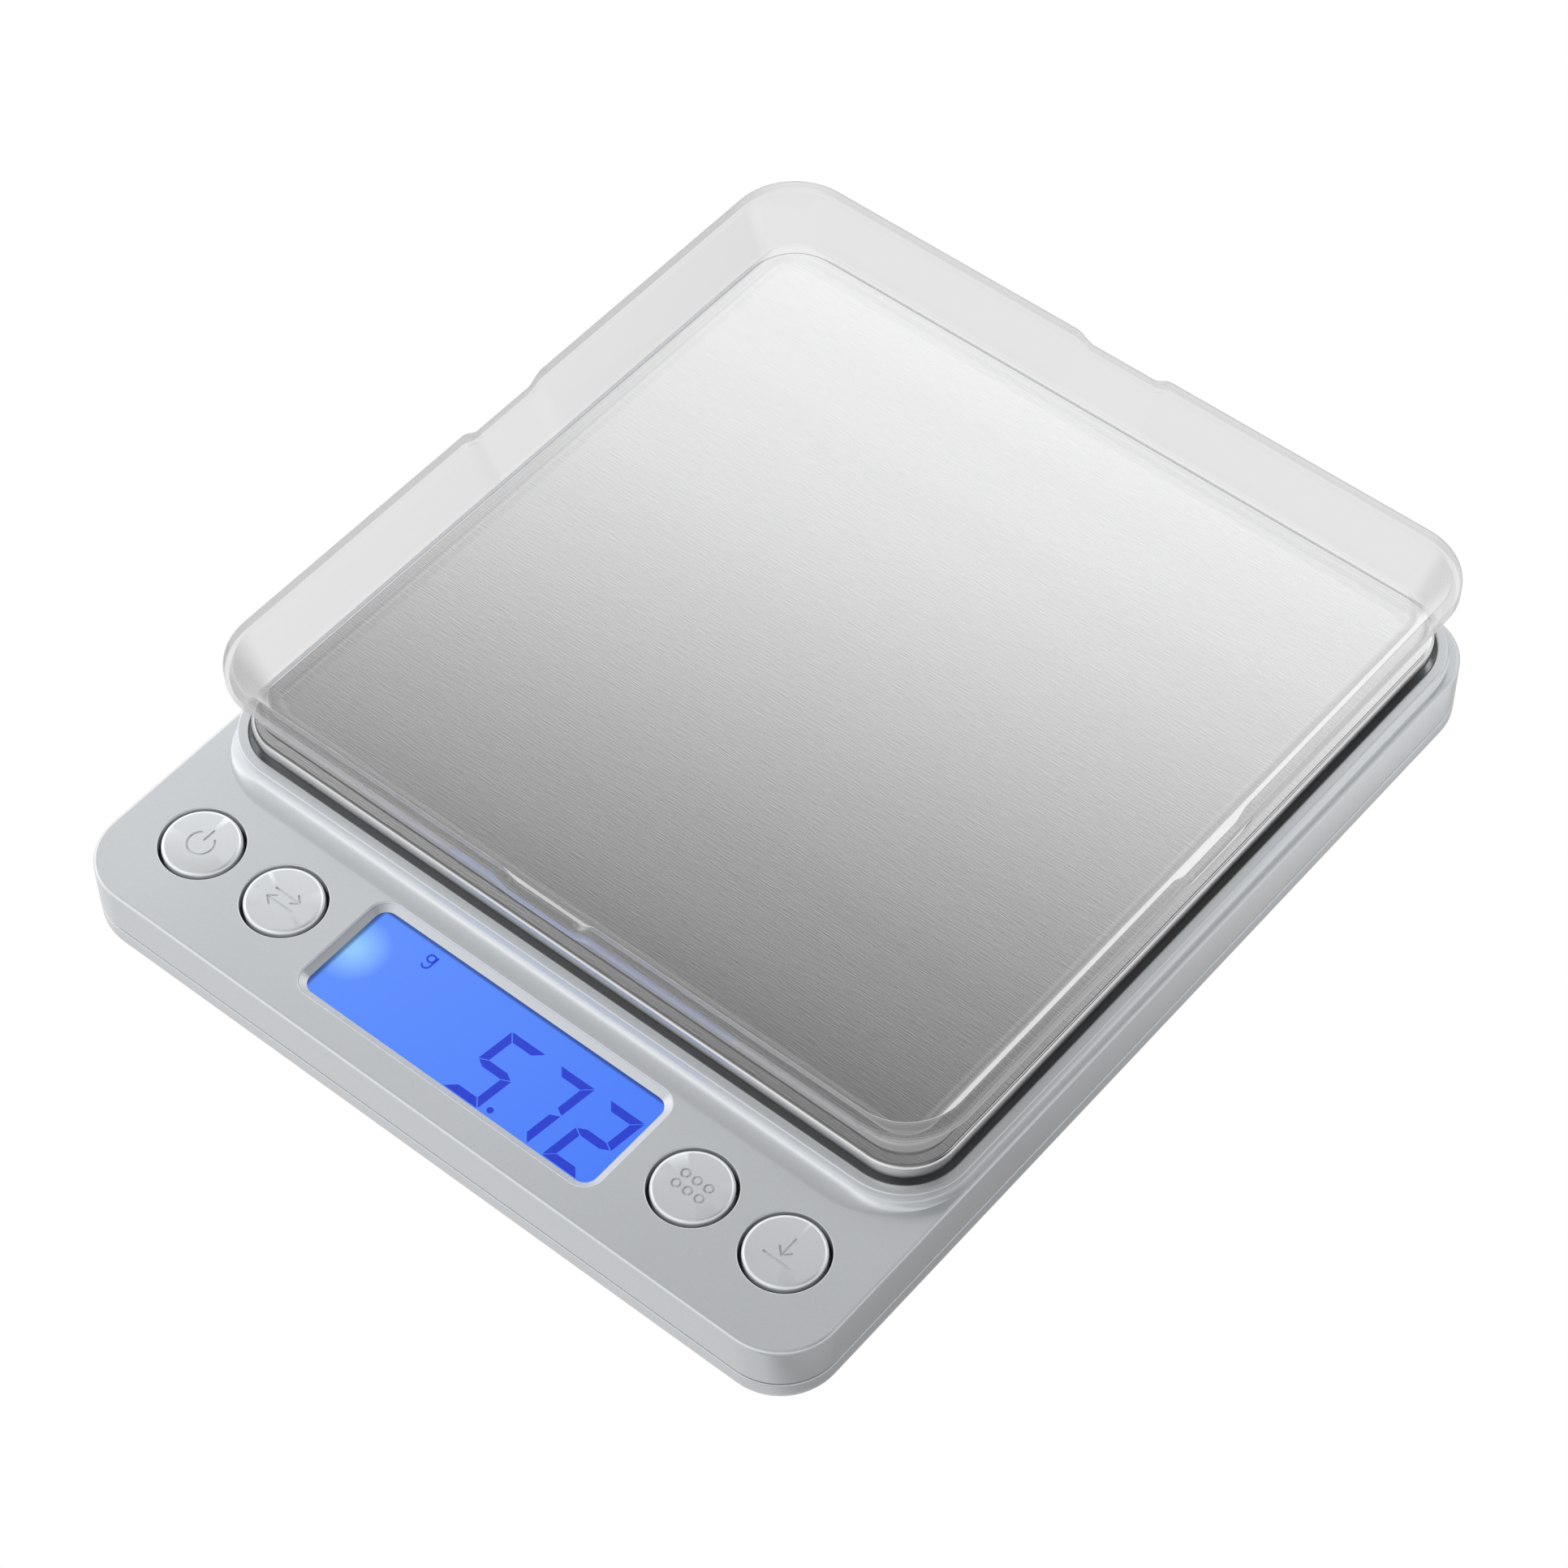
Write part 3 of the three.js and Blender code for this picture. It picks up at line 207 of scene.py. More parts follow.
def softbox(name, place, size, power):
    """A rectangular lamp turned to the origin, which doesn't show in reflections."""
    data = bpy.data.lights.new(name, "AREA")
    data.shape, data.size, data.size_y = "RECTANGLE", size[0], size[1]
    data.energy = power
    lamp = bpy.data.objects.new(name, data)
    lamp.location = place
    lamp.rotation_euler = (-Vector(place)).to_track_quat("-Z", "Y").to_euler()
    lamp.visible_glossy = False
    scene.collection.objects.link(lamp)


def plane(name, half, z):
    """A square of the stage, with its half width and height in metres."""
    mesh = bpy.data.meshes.new(name)
    mesh.from_pydata([(-half, -half, z), (half, -half, z), (half, half, z), (-half, half, z)],
                     [], [(0, 1, 2, 3)])
    made = bpy.data.objects.new(name, mesh)
    scene.collection.objects.link(made)
    return made


# The bounce floor's strength: level at the left, weak beside the body, full at the back right.
BOUNCE_LEFT, BOUNCE_LEFT_FADE = 0.68, (0.05, 0.056)
BOUNCE_FRONT, BOUNCE_FRONT_FADE = 0.36, (-0.02, 0.05)
BOUNCE_NEAR, BOUNCE_NEAR_FADE = 0.25, (0.0535, 0.059)


def build_floor():
    """A pale floor, clear from below, and a second one that only the object itself sees."""
    floor = plane("floor", 4.0, -0.0003)
    finish, n = node_material("floor")
    glow = n.add("ShaderNodeEmission", {"Color": (1, 1, 1, 1), "Strength": 1.0})
    from_below = n.add("ShaderNodeNewGeometry").outputs["Backfacing"]
    clear_side = n.add("ShaderNodeBsdfTransparent").outputs["BSDF"]
    n.surface(n.mix(from_below, glow.outputs["Emission"], clear_side))
    floor.data.materials.append(finish)
    floor.visible_glossy = floor.visible_diffuse = floor.visible_shadow = False

    bounce = plane("floor_bounce", 0.6, -0.0006)
    finish, n = node_material("floor_bounce")
    place = n.add("ShaderNodeTexCoord").outputs["Object"]
    axes = n.add("ShaderNodeSeparateXYZ", {"Vector": place}).outputs
    right = n.math("MULTIPLY", n.span(axes["Y"], *BOUNCE_FRONT_FADE, BOUNCE_FRONT, 1.0),
                   n.span(axes["X"], *BOUNCE_NEAR_FADE, BOUNCE_NEAR, 1.0))
    strength = n.span(axes["X"], *BOUNCE_LEFT_FADE, BOUNCE_LEFT, right)
    glow = n.add("ShaderNodeEmission", {"Strength": strength})
    n.surface(glow.outputs["Emission"])
    bounce.data.materials.append(finish)
    bounce.visible_camera = bounce.visible_transmission = bounce.visible_shadow = False


build_world()
build_floor()
softbox("key_left", place=(-0.28, -0.1, 0.2), size=(0.2, 0.2), power=1.15)

# -------------------------------------------------------------------------- materials

BROAD_RATIO = 60
NOISE_LOW, NOISE_HIGH = 0.3, 0.7
ROUGHNESS_SWING = 0.07
RELIEF = 0.0001


def principled(name, **inputs):
    """A material with one Principled shader. Returns it, its nodes and the shader."""
    made, n = node_material(name)
    shader = n.add("ShaderNodeBsdfPrincipled")
    for key, value in inputs.items():
        shader.inputs[key.replace("_", " ")].default_value = value
    n.surface(shader.outputs["BSDF"])
    return made, n, shader


def textured(name, colour, roughness, metallic=0.0, grain=4000.0, depth=0.02, vary=0.05,
             stretch=(1.0, 1.0, 1.0)):
    """A surface with fine grain in its colour and relief, and broad grain in its roughness."""
    made, n, shader = principled(name, Metallic=metallic)
    place = n.add("ShaderNodeTexCoord").outputs["Object"]
    place = n.add("ShaderNodeMapping", {"Vector": place, "Scale": stretch}).outputs["Vector"]
    fine = n.add("ShaderNodeTexNoise", {"Vector": place, "Scale": grain, "Detail": 2.0})
    broad = n.add("ShaderNodeTexNoise", {
        "Vector": place, "Scale": grain / BROAD_RATIO, "Detail": 2.0,
    })
    dark = tuple(c * (1 - vary) for c in colour)
    light = tuple(min(1.0, c * (1 + vary)) for c in colour)
    tint = n.ramp(fine.outputs["Fac"], [(NOISE_LOW, dark), (NOISE_HIGH, light)])
    rough = n.span(broad.outputs["Fac"], NOISE_LOW, NOISE_HIGH,
                   roughness * (1 - ROUGHNESS_SWING), roughness * (1 + ROUGHNESS_SWING))
    bump = n.add("ShaderNodeBump", {
        "Height": fine.outputs["Fac"], "Strength": depth, "Distance": RELIEF,
    })
    n.tree.links.new(tint, shader.inputs["Base Color"])
    n.tree.links.new(rough, shader.inputs["Roughness"])
    n.tree.links.new(bump.outputs["Normal"], shader.inputs["Normal"])
    return made


PAINT = {"metallic": 0.5, "grain": 3000, "depth": 0.01, "vary": 0.015}
silver = textured("silver_paint", (0.64, 0.66, 0.68), 0.23, **PAINT)
key_silver = textured("key_paint", (0.76, 0.78, 0.8), 0.2, **PAINT)
steel = textured("brushed_steel", (0.655, 0.66, 0.66), 0.16, metallic=1.0, grain=2600,
                 depth=0.05, vary=0.02, stretch=(0.15, 3.0, 1.0))
black = textured("black_plastic", (0.012, 0.012, 0.013), 0.5)
rubber = textured("grey_rubber", (0.2, 0.2, 0.21), 0.8, depth=0.2)
dull_grey = textured("grey_plastic", (0.15, 0.15, 0.155), 0.55)
zinc = textured("zinc_steel", (0.6, 0.62, 0.64), 0.3, metallic=1.0)
nickel = textured("nickel", (0.68, 0.65, 0.6), 0.22, metallic=1.0)
aluminium = textured("milled_aluminium", (0.7, 0.71, 0.73), 0.35, metallic=1.0)
board = textured("board_green", (0.015, 0.1, 0.04), 0.4, grain=1500)
epoxy = textured("epoxy_black", (0.008, 0.008, 0.009), 0.3)
ceramic = textured("white_ceramic", (0.75, 0.74, 0.7), 0.5)
zebra = textured("zebra_rubber", (0.7, 0.3, 0.36), 0.75)
gauge = textured("gauge_coat", (0.85, 0.84, 0.8), 0.5)
wrap = textured("battery_wrap", (0.03, 0.035, 0.04), 0.3, metallic=0.3)
red = textured("red_wire", (0.45, 0.02, 0.015), 0.4)
dark_wire = textured("black_wire", (0.01, 0.01, 0.01), 0.4)
pale_wire = textured("grey_wire", (0.35, 0.36, 0.37), 0.45)

NO_WALLS = 1.0
WALL_FADE = 0.0008
WALL_TINT = 0.92
MILK_SHARE, MILK_FADE = 0.4, (0.35, 0.8)
FACED_MIRROR = 0.04
MIRROR_POWER = 4.0


def clear_material(name, face, edge, roughness, walls_from=NO_WALLS):
    """Clear polished plastic: see-through where it is faced, greyer and far more mirror-like
    towards its edges. Above the height walls_from, in metres, it is greyer, and milky where
    it is seen along its surface."""
    made, n = node_material(name)
    turn = n.add("ShaderNodeLayerWeight", {"Blend": 0.5}).outputs["Facing"]
    middle = tuple((a + b) / 2 for a, b in zip(face, edge))
    tint = n.ramp(turn, [(0.0, face), (0.25, face), (0.6, middle), (0.95, edge)])
    place = n.add("ShaderNodeTexCoord").outputs["Object"]
    haze = n.add("ShaderNodeTexNoise", {"Vector": place, "Scale": 90.0, "Detail": 1.0})
    rough = n.span(haze.outputs["Fac"], 0.0, 1.0, roughness * 0.7, roughness * 1.3)
    height = n.add("ShaderNodeSeparateXYZ", {"Vector": place}).outputs["Z"]
    wall = n.span(height, walls_from, walls_from + WALL_FADE)
    dimmed = n.scaled(tint, n.span(wall, 0.0, 1.0, 1.0, WALL_TINT))
    straight = n.add("ShaderNodeBsdfTransparent", {"Color": dimmed})
    sheen = n.add("ShaderNodeBsdfGlossy", {"Roughness": rough})
    steep = n.math("POWER", turn, MIRROR_POWER)
    mirrored = n.math("ADD", n.math("MULTIPLY", steep, 1.0 - FACED_MIRROR), FACED_MIRROR)
    polished = n.mix(mirrored, straight.outputs["BSDF"], sheen.outputs["BSDF"])
    cloud = n.math("MULTIPLY", wall, n.span(turn, *MILK_FADE, 0.0, MILK_SHARE))
    milk = n.add("ShaderNodeBsdfDiffuse", {"Color": (0.9, 0.9, 0.9, 1.0)})
    n.surface(n.mix(cloud, polished, milk.outputs["BSDF"]))
    return made


clear = clear_material("clear_plastic", grey(0.97), grey(0.5), 0.03, walls_from=0.0173)
window = clear_material("clear_window", (0.97, 0.98, 1.0), grey(0.9), 0.06)

# Where the display's lamp and the frame's shade fall on its glass.
LAMP_SPOT = (-0.0201, -0.0513, 0.01045)
LAMP_FADE = (0.0007, 0.0045)
LAMP_COLOUR = (0.4, 0.8, 1.0, 1.0)
LEFT_SHADE = (-0.0208, -0.0204)
BACK_SHADE = (-0.0452, -0.0455)
SHADED_LEVEL = 0.35
GLASS_HALF = 0.022


def display_material(name, left, right, glow):
    """Display glass lit from the left end, where its lamp shows through by glow. The
    frame's shade falls along its left and back edges."""
    made, n, shader = principled(name, Roughness=0.2, Base_Color=(0.02, 0.03, 0.1, 1.0))
    place = n.add("ShaderNodeTexCoord").outputs["Object"]
    axes = n.add("ShaderNodeSeparateXYZ", {"Vector": place}).outputs
    light = n.ramp(n.span(axes["X"], -GLASS_HALF, GLASS_HALF), [(0.0, left), (1.0, right)])
    offset = n.add("ShaderNodeVectorMath", {0: place, 1: LAMP_SPOT}, operation="DISTANCE")
    near = n.span(offset.outputs["Value"], *LAMP_FADE, glow, 0.0)
    lit = n.add("ShaderNodeMix", {"Factor": near, "A": light, "B": LAMP_COLOUR},
                data_type="RGBA")
    shade = n.math("MULTIPLY", n.span(axes["X"], *LEFT_SHADE), n.span(axes["Y"], *BACK_SHADE))
    strength = n.span(shade, 0.0, 1.0, SHADED_LEVEL, 1.0)
    n.tree.links.new(lit.outputs[2], shader.inputs["Emission Color"])
    n.tree.links.new(strength, shader.inputs["Emission Strength"])
    return made


lit_blue = display_material("display_blue", (0.095, 0.26, 0.9), (0.055, 0.19, 0.88), 0.6)
ink_blue = display_material("display_ink", (0.004, 0.028, 0.56), (0.003, 0.02, 0.53), 0.0)

# ---------------------------------------------------------------------- shape helpers


def outline(x, y0, y1, r, steps, stations):
    """Points round a rectangle with rounded corners, anticlockwise, in millimetres.
    Each side also gets points at the stations, distances from that side's middle."""
    middle = (y0 + y1) / 2
    corners = [(x - r, y1 - r), (r - x, y1 - r), (r - x, y0 + r), (x - r, y0 + r)]
    points = []
    for quarter, (cx, cy) in enumerate(corners):
        for i in range(steps + 1):
            angle = (quarter + i / steps) * math.pi / 2
            points.append((cx + r * math.cos(angle), cy + r * math.sin(angle)))
        for s in stations:
            points.append([(-s, y1), (-x, middle - s), (s, y0), (x, middle + s)][quarter])
    return points


def new_object(name, mesh):
    made = bpy.data.objects.new(name, mesh)
    scene.collection.objects.link(made)
    return made


def finished(name, made):
    """An object from a bmesh, with its faces turned outwards."""
    bmesh.ops.recalc_face_normals(made, faces=made.faces)
    mesh = bpy.data.meshes.new(name)
    made.to_mesh(mesh)
    made.free()
    return new_object(name, mesh)


def loft(name, levels, steps=14, stations=()):
    """A closed solid through rounded rectangles (z, x, y0, y1, r), in millimetres."""
    mesh = bpy.data.meshes.new(name)
    verts, faces = [], []
    for z, x, y0, y1, r in levels:
        verts += [(px * MM, py * MM, z * MM) for px, py in outline(x, y0, y1, r, steps, stations)]
    count = len(verts) // len(levels)
    for i in range(len(levels) - 1):
        for j in range(count):
            k = (j + 1) % count
            faces.append((i * count + j, i * count + k, (i + 1) * count + k, (i + 1) * count + j))
    last = (len(levels) - 1) * count
    faces.append(tuple(reversed(range(count))))
    faces.append(tuple(last + j for j in range(count)))
    mesh.from_pydata(verts, [], faces)
    return new_object(name, mesh)


def turned(name, profile, x, y, sides=96):
    """A solid turned about a vertical axis at (x, y) from (radius, z) points, in mm."""
    made = bmesh.new()
    rings = []
    for radius, z in profile:
        if radius == 0:
            rings.append([made.verts.new((x * MM, y * MM, z * MM))])
        else:
            rings.append([made.verts.new((
                (x + radius * math.cos(2 * math.pi * i / sides)) * MM,
                (y + radius * math.sin(2 * math.pi * i / sides)) * MM, z * MM,
            )) for i in range(sides)])
    for low, high in zip(rings, rings[1:]):
        for i in range(sides):
            j = (i + 1) % sides
            corners = [low[i % len(low)], low[j % len(low)],
                       high[j % len(high)], high[i % len(high)]]
            made.faces.new(list(dict.fromkeys(corners)))
    return finished(name, made)


def block(name, low, high):
    """A box between two corners, in millimetres."""
    (x0, y0, z0), (x1, y1, z1) = low, high
    corners = [(x, y, z) for z in (z0, z1) for y in (y0, y1) for x in (x0, x1)]
    mesh = bpy.data.meshes.new(name)
    mesh.from_pydata([tuple(c * MM for c in corner) for corner in corners], [], [
        (0, 2, 3, 1), (4, 5, 7, 6), (0, 1, 5, 4), (2, 6, 7, 3), (0, 4, 6, 2), (1, 3, 7, 5),
    ])
    return new_object(name, mesh)


def rounding(radius, steps):
    """(inset, drop) pairs round a convex edge, from its flat face to its side."""
    return [(radius * (1 - math.sin(i / steps * math.pi / 2)),
             radius * (1 - math.cos(i / steps * math.pi / 2))) for i in range(steps + 1)]


def apply_all(piece):
    """Replaces a piece's mesh by what its modifiers make of it."""
    graph = bpy.context.evaluated_depsgraph_get()
    made = bpy.data.meshes.new_from_object(piece.evaluated_get(graph))
    piece.modifiers.clear()
    piece.data = made


def boolean(piece, tools, operation="DIFFERENCE"):
    """Takes the tools from a piece, or joins them to it, and removes them."""
    for tool in tools:
        step = piece.modifiers.new("cut", "BOOLEAN")
        step.operation, step.object, step.solver = operation, tool, "EXACT"
        apply_all(piece)
        bpy.data.objects.remove(tool)


def dress(piece, finish, body, stands_for=(), angle=35.0):
    """Smooth shading, material, body and CAD nodes for a finished piece."""
    piece.data.materials.clear()
    piece.data.materials.append(finish)
    for face in piece.data.polygons:
        face.use_smooth = True
        face.material_index = 0
    piece.data.set_sharp_from_angle(angle=math.radians(angle))
    even = piece.modifiers.new("even_normals", "WEIGHTED_NORMAL")
    even.keep_sharp, even.weight = True, 80
    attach(piece, body)
    if stands_for:
        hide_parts(*stands_for)


def mm_box(node):
    low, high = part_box(node)
    return low / MM, high / MM


# ------------------------------------------------------------------- places from CAD

body_low, body_high = mm_box("bottom_housing")
half_width, front, back = body_high.x, body_low.y, body_high.y
under_z = body_low.z
top_low, top_high = mm_box("top_housing")
parting_low = top_low.z
plinth_z = top_high.z
plate_low, plate_high = mm_box("platform_plate")
mid_y = (plate_low.y + plate_high.y) / 2
plate_x, plate_y = plate_high.x, (plate_high.y - plate_low.y) / 2
tray_low, tray_high = mm_box("tray")
lens_low, lens_high = mm_box("display_window")
view_width = lens_high.x - lens_low.x - 3.6
view_height = lens_high.y - lens_low.y - 2.6
key_low, key_high = mm_box("button_power")
KEYS = ("power", "mode", "count", "tare")
key_x = {name: sum(c.x for c in mm_box(f"button_{name}")) / 2 for name in KEYS}
control_y = (key_low.y + key_high.y) / 2

CORNER = 7.5
PLINTH_RISE = 2.1
PLINTH_CORNER = 8.4
PLINTH_RIM = 1.4
PLATFORM_GAP = 0.4
WALL = 1.8
FLOOR_THICKNESS = 1.6
PANEL_THICKNESS = 1.6
WELL_DEPTH = 2.4
KEY_RADIUS = 4.65
HOLE_RADIUS = KEY_RADIUS + 0.42
CUT_PAST = 1.0
panel_z = plinth_z - PLINTH_RISE
plinth_x = plate_x + PLATFORM_GAP + PLINTH_RIM
plinth_y = plate_y + PLATFORM_GAP + PLINTH_RIM
plinth_front, plinth_back = mid_y - plinth_y, mid_y + plinth_y
well_x, well_y = plinth_x - PLINTH_RIM, plinth_y - PLINTH_RIM
deck_z = plinth_z - WELL_DEPTH
panel_under_z = panel_z - PANEL_THICKNESS


def body_level(z, inset):
    """The body's outline at height z, drawn in by the inset."""
    return (z, half_width - inset, front + inset, back - inset, CORNER - inset)


def platform_level(z, x, y, r, inset=0.0):
    """A rectangle round the platform's middle with half sizes x and y, drawn in by the inset."""
    return (z, x - inset, mid_y - y + inset, mid_y + y - inset, r - inset)


def display_level(z, grow, r):
    """The display's opening at height z, wider and deeper by grow."""
    half_x, half_y = (view_width + grow) / 2, (view_height + grow) / 2
    return (z, half_x, control_y - half_y, control_y + half_y, r)


def spot(node):
    """The middle of a node seen from above, in millimetres."""
    low, high = mm_box(node)
    return (low.x + high.x) / 2, (low.y + high.y) / 2


# --------------------------------------------------------------------------- housings

# The radii of the rounded edges.
SEAM_EDGE = 0.2
PANEL_EDGE = 0.45
UNDER_EDGE = 2.5
PLINTH_EDGE = 0.2
WELL_EDGE = 0.35
HOLE_EDGE = 0.15
BEZEL_EDGE = 0.18

# The sweep from the plinth down to the panel, and how far it starts under the panel.
FILLET_REACH = 2.8
FILLET_TOP_BAND = 0.5
FILLET_MARGIN = 0.6
FILLET_BURY = 0.4

# The seam between the halves: a tongue on the lower one in a groove of the upper one.
SEAM_GAP = 0.3
SEAM_HEIGHT = 1.35
GROOVE_INSET = 0.75
TONGUE_INSET = 1.05

VIEW_CORNER = 1.6
BEZEL, BEZEL_CORNER = 1.7, 2.4
SEAT_MARGIN = 3.2
SEAT_LAP = 0.001

# The battery bay and its cover's rails.
CLEARANCE = 0.3
BRIDGE_CLEARANCE = 0.15
BAY_WALL, BAY_ROOF = 1.2, 1.0
RAIL_WIDTH, RAIL_FLOOR, RAIL_ROOF = 1.8, 0.8, 0.7
WALL_LAP = 0.4

FOOT_RADIUS, FOOT_DEPTH = 5.3, 0.4
SCREW_RADIUS, SCREW_DEPTH, CELL_SCREW_DEPTH = 3.0, 3.0, 1.5
CHAMFER = 0.25


def plinth_levels():
    """The concave sweep from the plinth down to the panel, then the plinth's top edge."""
    rise, steps = PLINTH_RISE - FILLET_TOP_BAND, 14
    levels = []
    for i in range(steps + 1):
        angle = i / steps * math.pi / 2
        spread = FILLET_REACH * (1 - math.sin(angle))
        levels.append((
            panel_z + rise * (1 - math.cos(angle)),
            min(plinth_x + spread, half_width - FILLET_MARGIN),
            plinth_front - spread, min(plinth_back + spread, back - FILLET_MARGIN),
            PLINTH_CORNER + spread,
        ))
    foot = (panel_z - FILLET_BURY, *levels[0][1:])
    edge = [platform_level(plinth_z - drop, plinth_x, plinth_y, PLINTH_CORNER, inset)
            for inset, drop in reversed(rounding(PLINTH_EDGE, 4))]
    return [foot, *levels, *edge]


def build_top_housing():
    """The upper half: panel and plinth, hollow, with its well, display and key openings."""
    shell = loft("top_cover", [
        *[body_level(parting_low + drop, inset) for inset, drop in rounding(SEAM_EDGE, 3)],
        *[body_level(panel_z - drop, inset) for inset, drop in reversed(rounding(PANEL_EDGE, 6))],
    ])
    boolean(shell, [loft("plinth", plinth_levels())], "UNION")
    corner = PLINTH_CORNER - PLINTH_RIM
    well = loft("well", [
        platform_level(deck_z, well_x, well_y, corner),
        *[platform_level(plinth_z - drop, well_x, well_y, corner, -inset)
          for inset, drop in reversed(rounding(WELL_EDGE, 6))],
        platform_level(plinth_z + CUT_PAST, well_x, well_y, corner, -WELL_EDGE),
    ])
    groove_z = parting_low + SEAM_HEIGHT
    hollow = loft("hollow", [
        body_level(parting_low - CUT_PAST, GROOVE_INSET), body_level(groove_z, GROOVE_INSET),
        body_level(groove_z, WALL), body_level(panel_under_z, WALL),
    ])
    view = loft("view", [
        display_level(panel_under_z - CUT_PAST, 0.0, VIEW_CORNER),
        display_level(lens_high.z + SEAT_LAP, 0.0, VIEW_CORNER),
        *[display_level(panel_z - drop, BEZEL + 2 * inset, BEZEL_CORNER + inset)
          for inset, drop in reversed(rounding(BEZEL_EDGE, 5))],
        display_level(panel_z + CUT_PAST, BEZEL + 2 * BEZEL_EDGE, BEZEL_CORNER + BEZEL_EDGE),
    ], steps=8)
    lens_seat = loft("lens_seat", [
        display_level(panel_under_z - CUT_PAST, SEAT_MARGIN, VIEW_CORNER),
        display_level(lens_high.z, SEAT_MARGIN, VIEW_CORNER),
    ], steps=6)
    key_holes = [turned("key_hole", [
        (0, panel_under_z - CUT_PAST), (HOLE_RADIUS, panel_under_z - CUT_PAST),
        *[(HOLE_RADIUS + inset, panel_z - drop)
          for inset, drop in reversed(rounding(HOLE_EDGE, 4))],
        (HOLE_RADIUS + HOLE_EDGE, panel_z + CUT_PAST), (0, panel_z + CUT_PAST),
    ], x, control_y) for x in key_x.values()]
    boolean(shell, [hollow, well, view, lens_seat, *key_holes])
    dress(shell, silver, "body", ["top_housing"])


def build_bottom_housing():
    """The lower half: a tub with its battery bay, cover rails, foot recesses and screw wells."""
    top = parting_low - SEAM_GAP
    floor_z = under_z + FLOOR_THICKNESS
    below = under_z - CUT_PAST
    shell = loft("lower_shell", [
        *[body_level(under_z + drop, inset) for inset, drop in rounding(UNDER_EDGE, 8)],
        *[body_level(top - drop, inset) for inset, drop in reversed(rounding(SEAM_EDGE, 3))],
        body_level(top, TONGUE_INSET), body_level(top + SEAM_HEIGHT, TONGUE_INSET),
    ])
    boolean(shell, [loft("inside", [
        body_level(floor_z, WALL), body_level(top + SEAM_HEIGHT + CUT_PAST, WALL),
    ])])
    bay_x = mm_box("contact_bridge")[1].x + BRIDGE_CLEARANCE
    cell_low, cell_high = mm_box("battery_front")[0], mm_box("battery_back")[1]
    bay_front, bay_back = cell_low.y - CLEARANCE, cell_high.y + CLEARANCE
    cover_low, cover_high = mm_box("battery_cover")
    rail_x, rail_z = cover_high.x + CLEARANCE, cover_high.z + CLEARANCE
    door_x, door_y = rail_x - RAIL_WIDTH, cover_low.y - CLEARANCE
    boolean(shell, [
        block("bay_wall", (-bay_x - BAY_WALL, bay_front - BAY_WALL, floor_z - WALL_LAP),
              (bay_x + BAY_WALL, bay_back + BAY_WALL, cell_high.z + BAY_ROOF)),
        block("rail_wall", (-rail_x - BAY_WALL, door_y - BAY_WALL, floor_z - WALL_LAP),
              (rail_x + BAY_WALL, back - WALL + WALL_LAP, rail_z + RAIL_ROOF)),
    ], "UNION")
    tools = [
        block("bay", (-bay_x, bay_front, below), (bay_x, bay_back, cell_high.z + CLEARANCE)),
        block("doorway", (-door_x, door_y, below), (door_x, back + CUT_PAST, rail_z)),
        block("rails", (-rail_x, door_y, under_z + RAIL_FLOOR),
              (rail_x, back + CUT_PAST, rail_z)),
    ]
    for i in range(1, 5):
        tools.append(turned("recess", [
            (0, below), (FOOT_RADIUS + CHAMFER, below), (FOOT_RADIUS, under_z + CHAMFER),
            (FOOT_RADIUS, under_z + FOOT_DEPTH), (0, under_z + FOOT_DEPTH),
        ], *spot(f"foot_{i}")))
        tools.append(turned("screw_well", [
            (0, below), (SCREW_RADIUS + CHAMFER, below), (SCREW_RADIUS + CHAMFER, under_z),
            (SCREW_RADIUS, under_z + CHAMFER), (SCREW_RADIUS, under_z + SCREW_DEPTH),
            (0, under_z + SCREW_DEPTH),
        ], *spot(f"case_screw_{i}"), sides=48))
    for i in (1, 2):
        tools.append(turned("screw_well", [
            (0, below), (SCREW_RADIUS, below), (SCREW_RADIUS, under_z + CELL_SCREW_DEPTH),
            (0, under_z + CELL_SCREW_DEPTH),
        ], *spot(f"cell_screw_fixed_{i}"), sides=48))
    boolean(shell, tools)
    dress(shell, silver, "body", ["bottom_housing"])


build_top_housing()
build_bottom_housing()

# --------------------------------------------------------------------------- platform

SHEET = 0.5
SHEET_LIP = 0.2
PLATE_EDGE = 0.55


def build_plate():
    """The pressed steel sheet, open underneath."""
    corner = PLINTH_CORNER - PLINTH_RIM - PLATFORM_GAP
    sheet = loft("platform_sheet", [
        *[platform_level(plate_low.z + drop, plate_x, plate_y, corner, inset)
          for inset, drop in rounding(SHEET_LIP, 3)],
        *[platform_level(plate_high.z - drop, plate_x, plate_y, corner, inset)
          for inset, drop in reversed(rounding(PLATE_EDGE, 6))],
    ])
    inside = loft("inside", [
        platform_level(z, plate_x, plate_y, corner, SHEET)
        for z in (plate_low.z - CUT_PAST, plate_high.z - SHEET)])
    boolean(sheet, [inside])
    dress(sheet, steel, "platform", ["platform_plate"])


build_plate()

# ------------------------------------------------------------------------------- tray

TRAY_WALL = 1.4
TRAY_OVERHANG = tray_high.x - plate_x
TRAY_CORNER = 8.6
TRAY_LIFT = 0.06
TRAY_FOOT = -1.1
TRAY_FOOT_EDGE = 1.2
TRAY_INNER_EDGE = 2.4
TRAY_INNER_LEAN = 0.3
RIM_EDGE = 0.45

# The lip under the rim: its depth, its reach past the wall, and (out, rise) pairs along it.
LIP_DEPTH = 1.8
LIP_REACH = 0.6
LIP_SWEEP = ((0.25, 0.02), (0.5, 0.12), (LIP_REACH, 0.3))

# The dip in the middle of each side's rim.
NOTCH_HALF = 7.0
NOTCH_DEPTH = 1.2
NOTCH_EASE = 2.6
NOTCH_FADE = 4.0
STATION_STEP = 0.5
STATIONS = 18


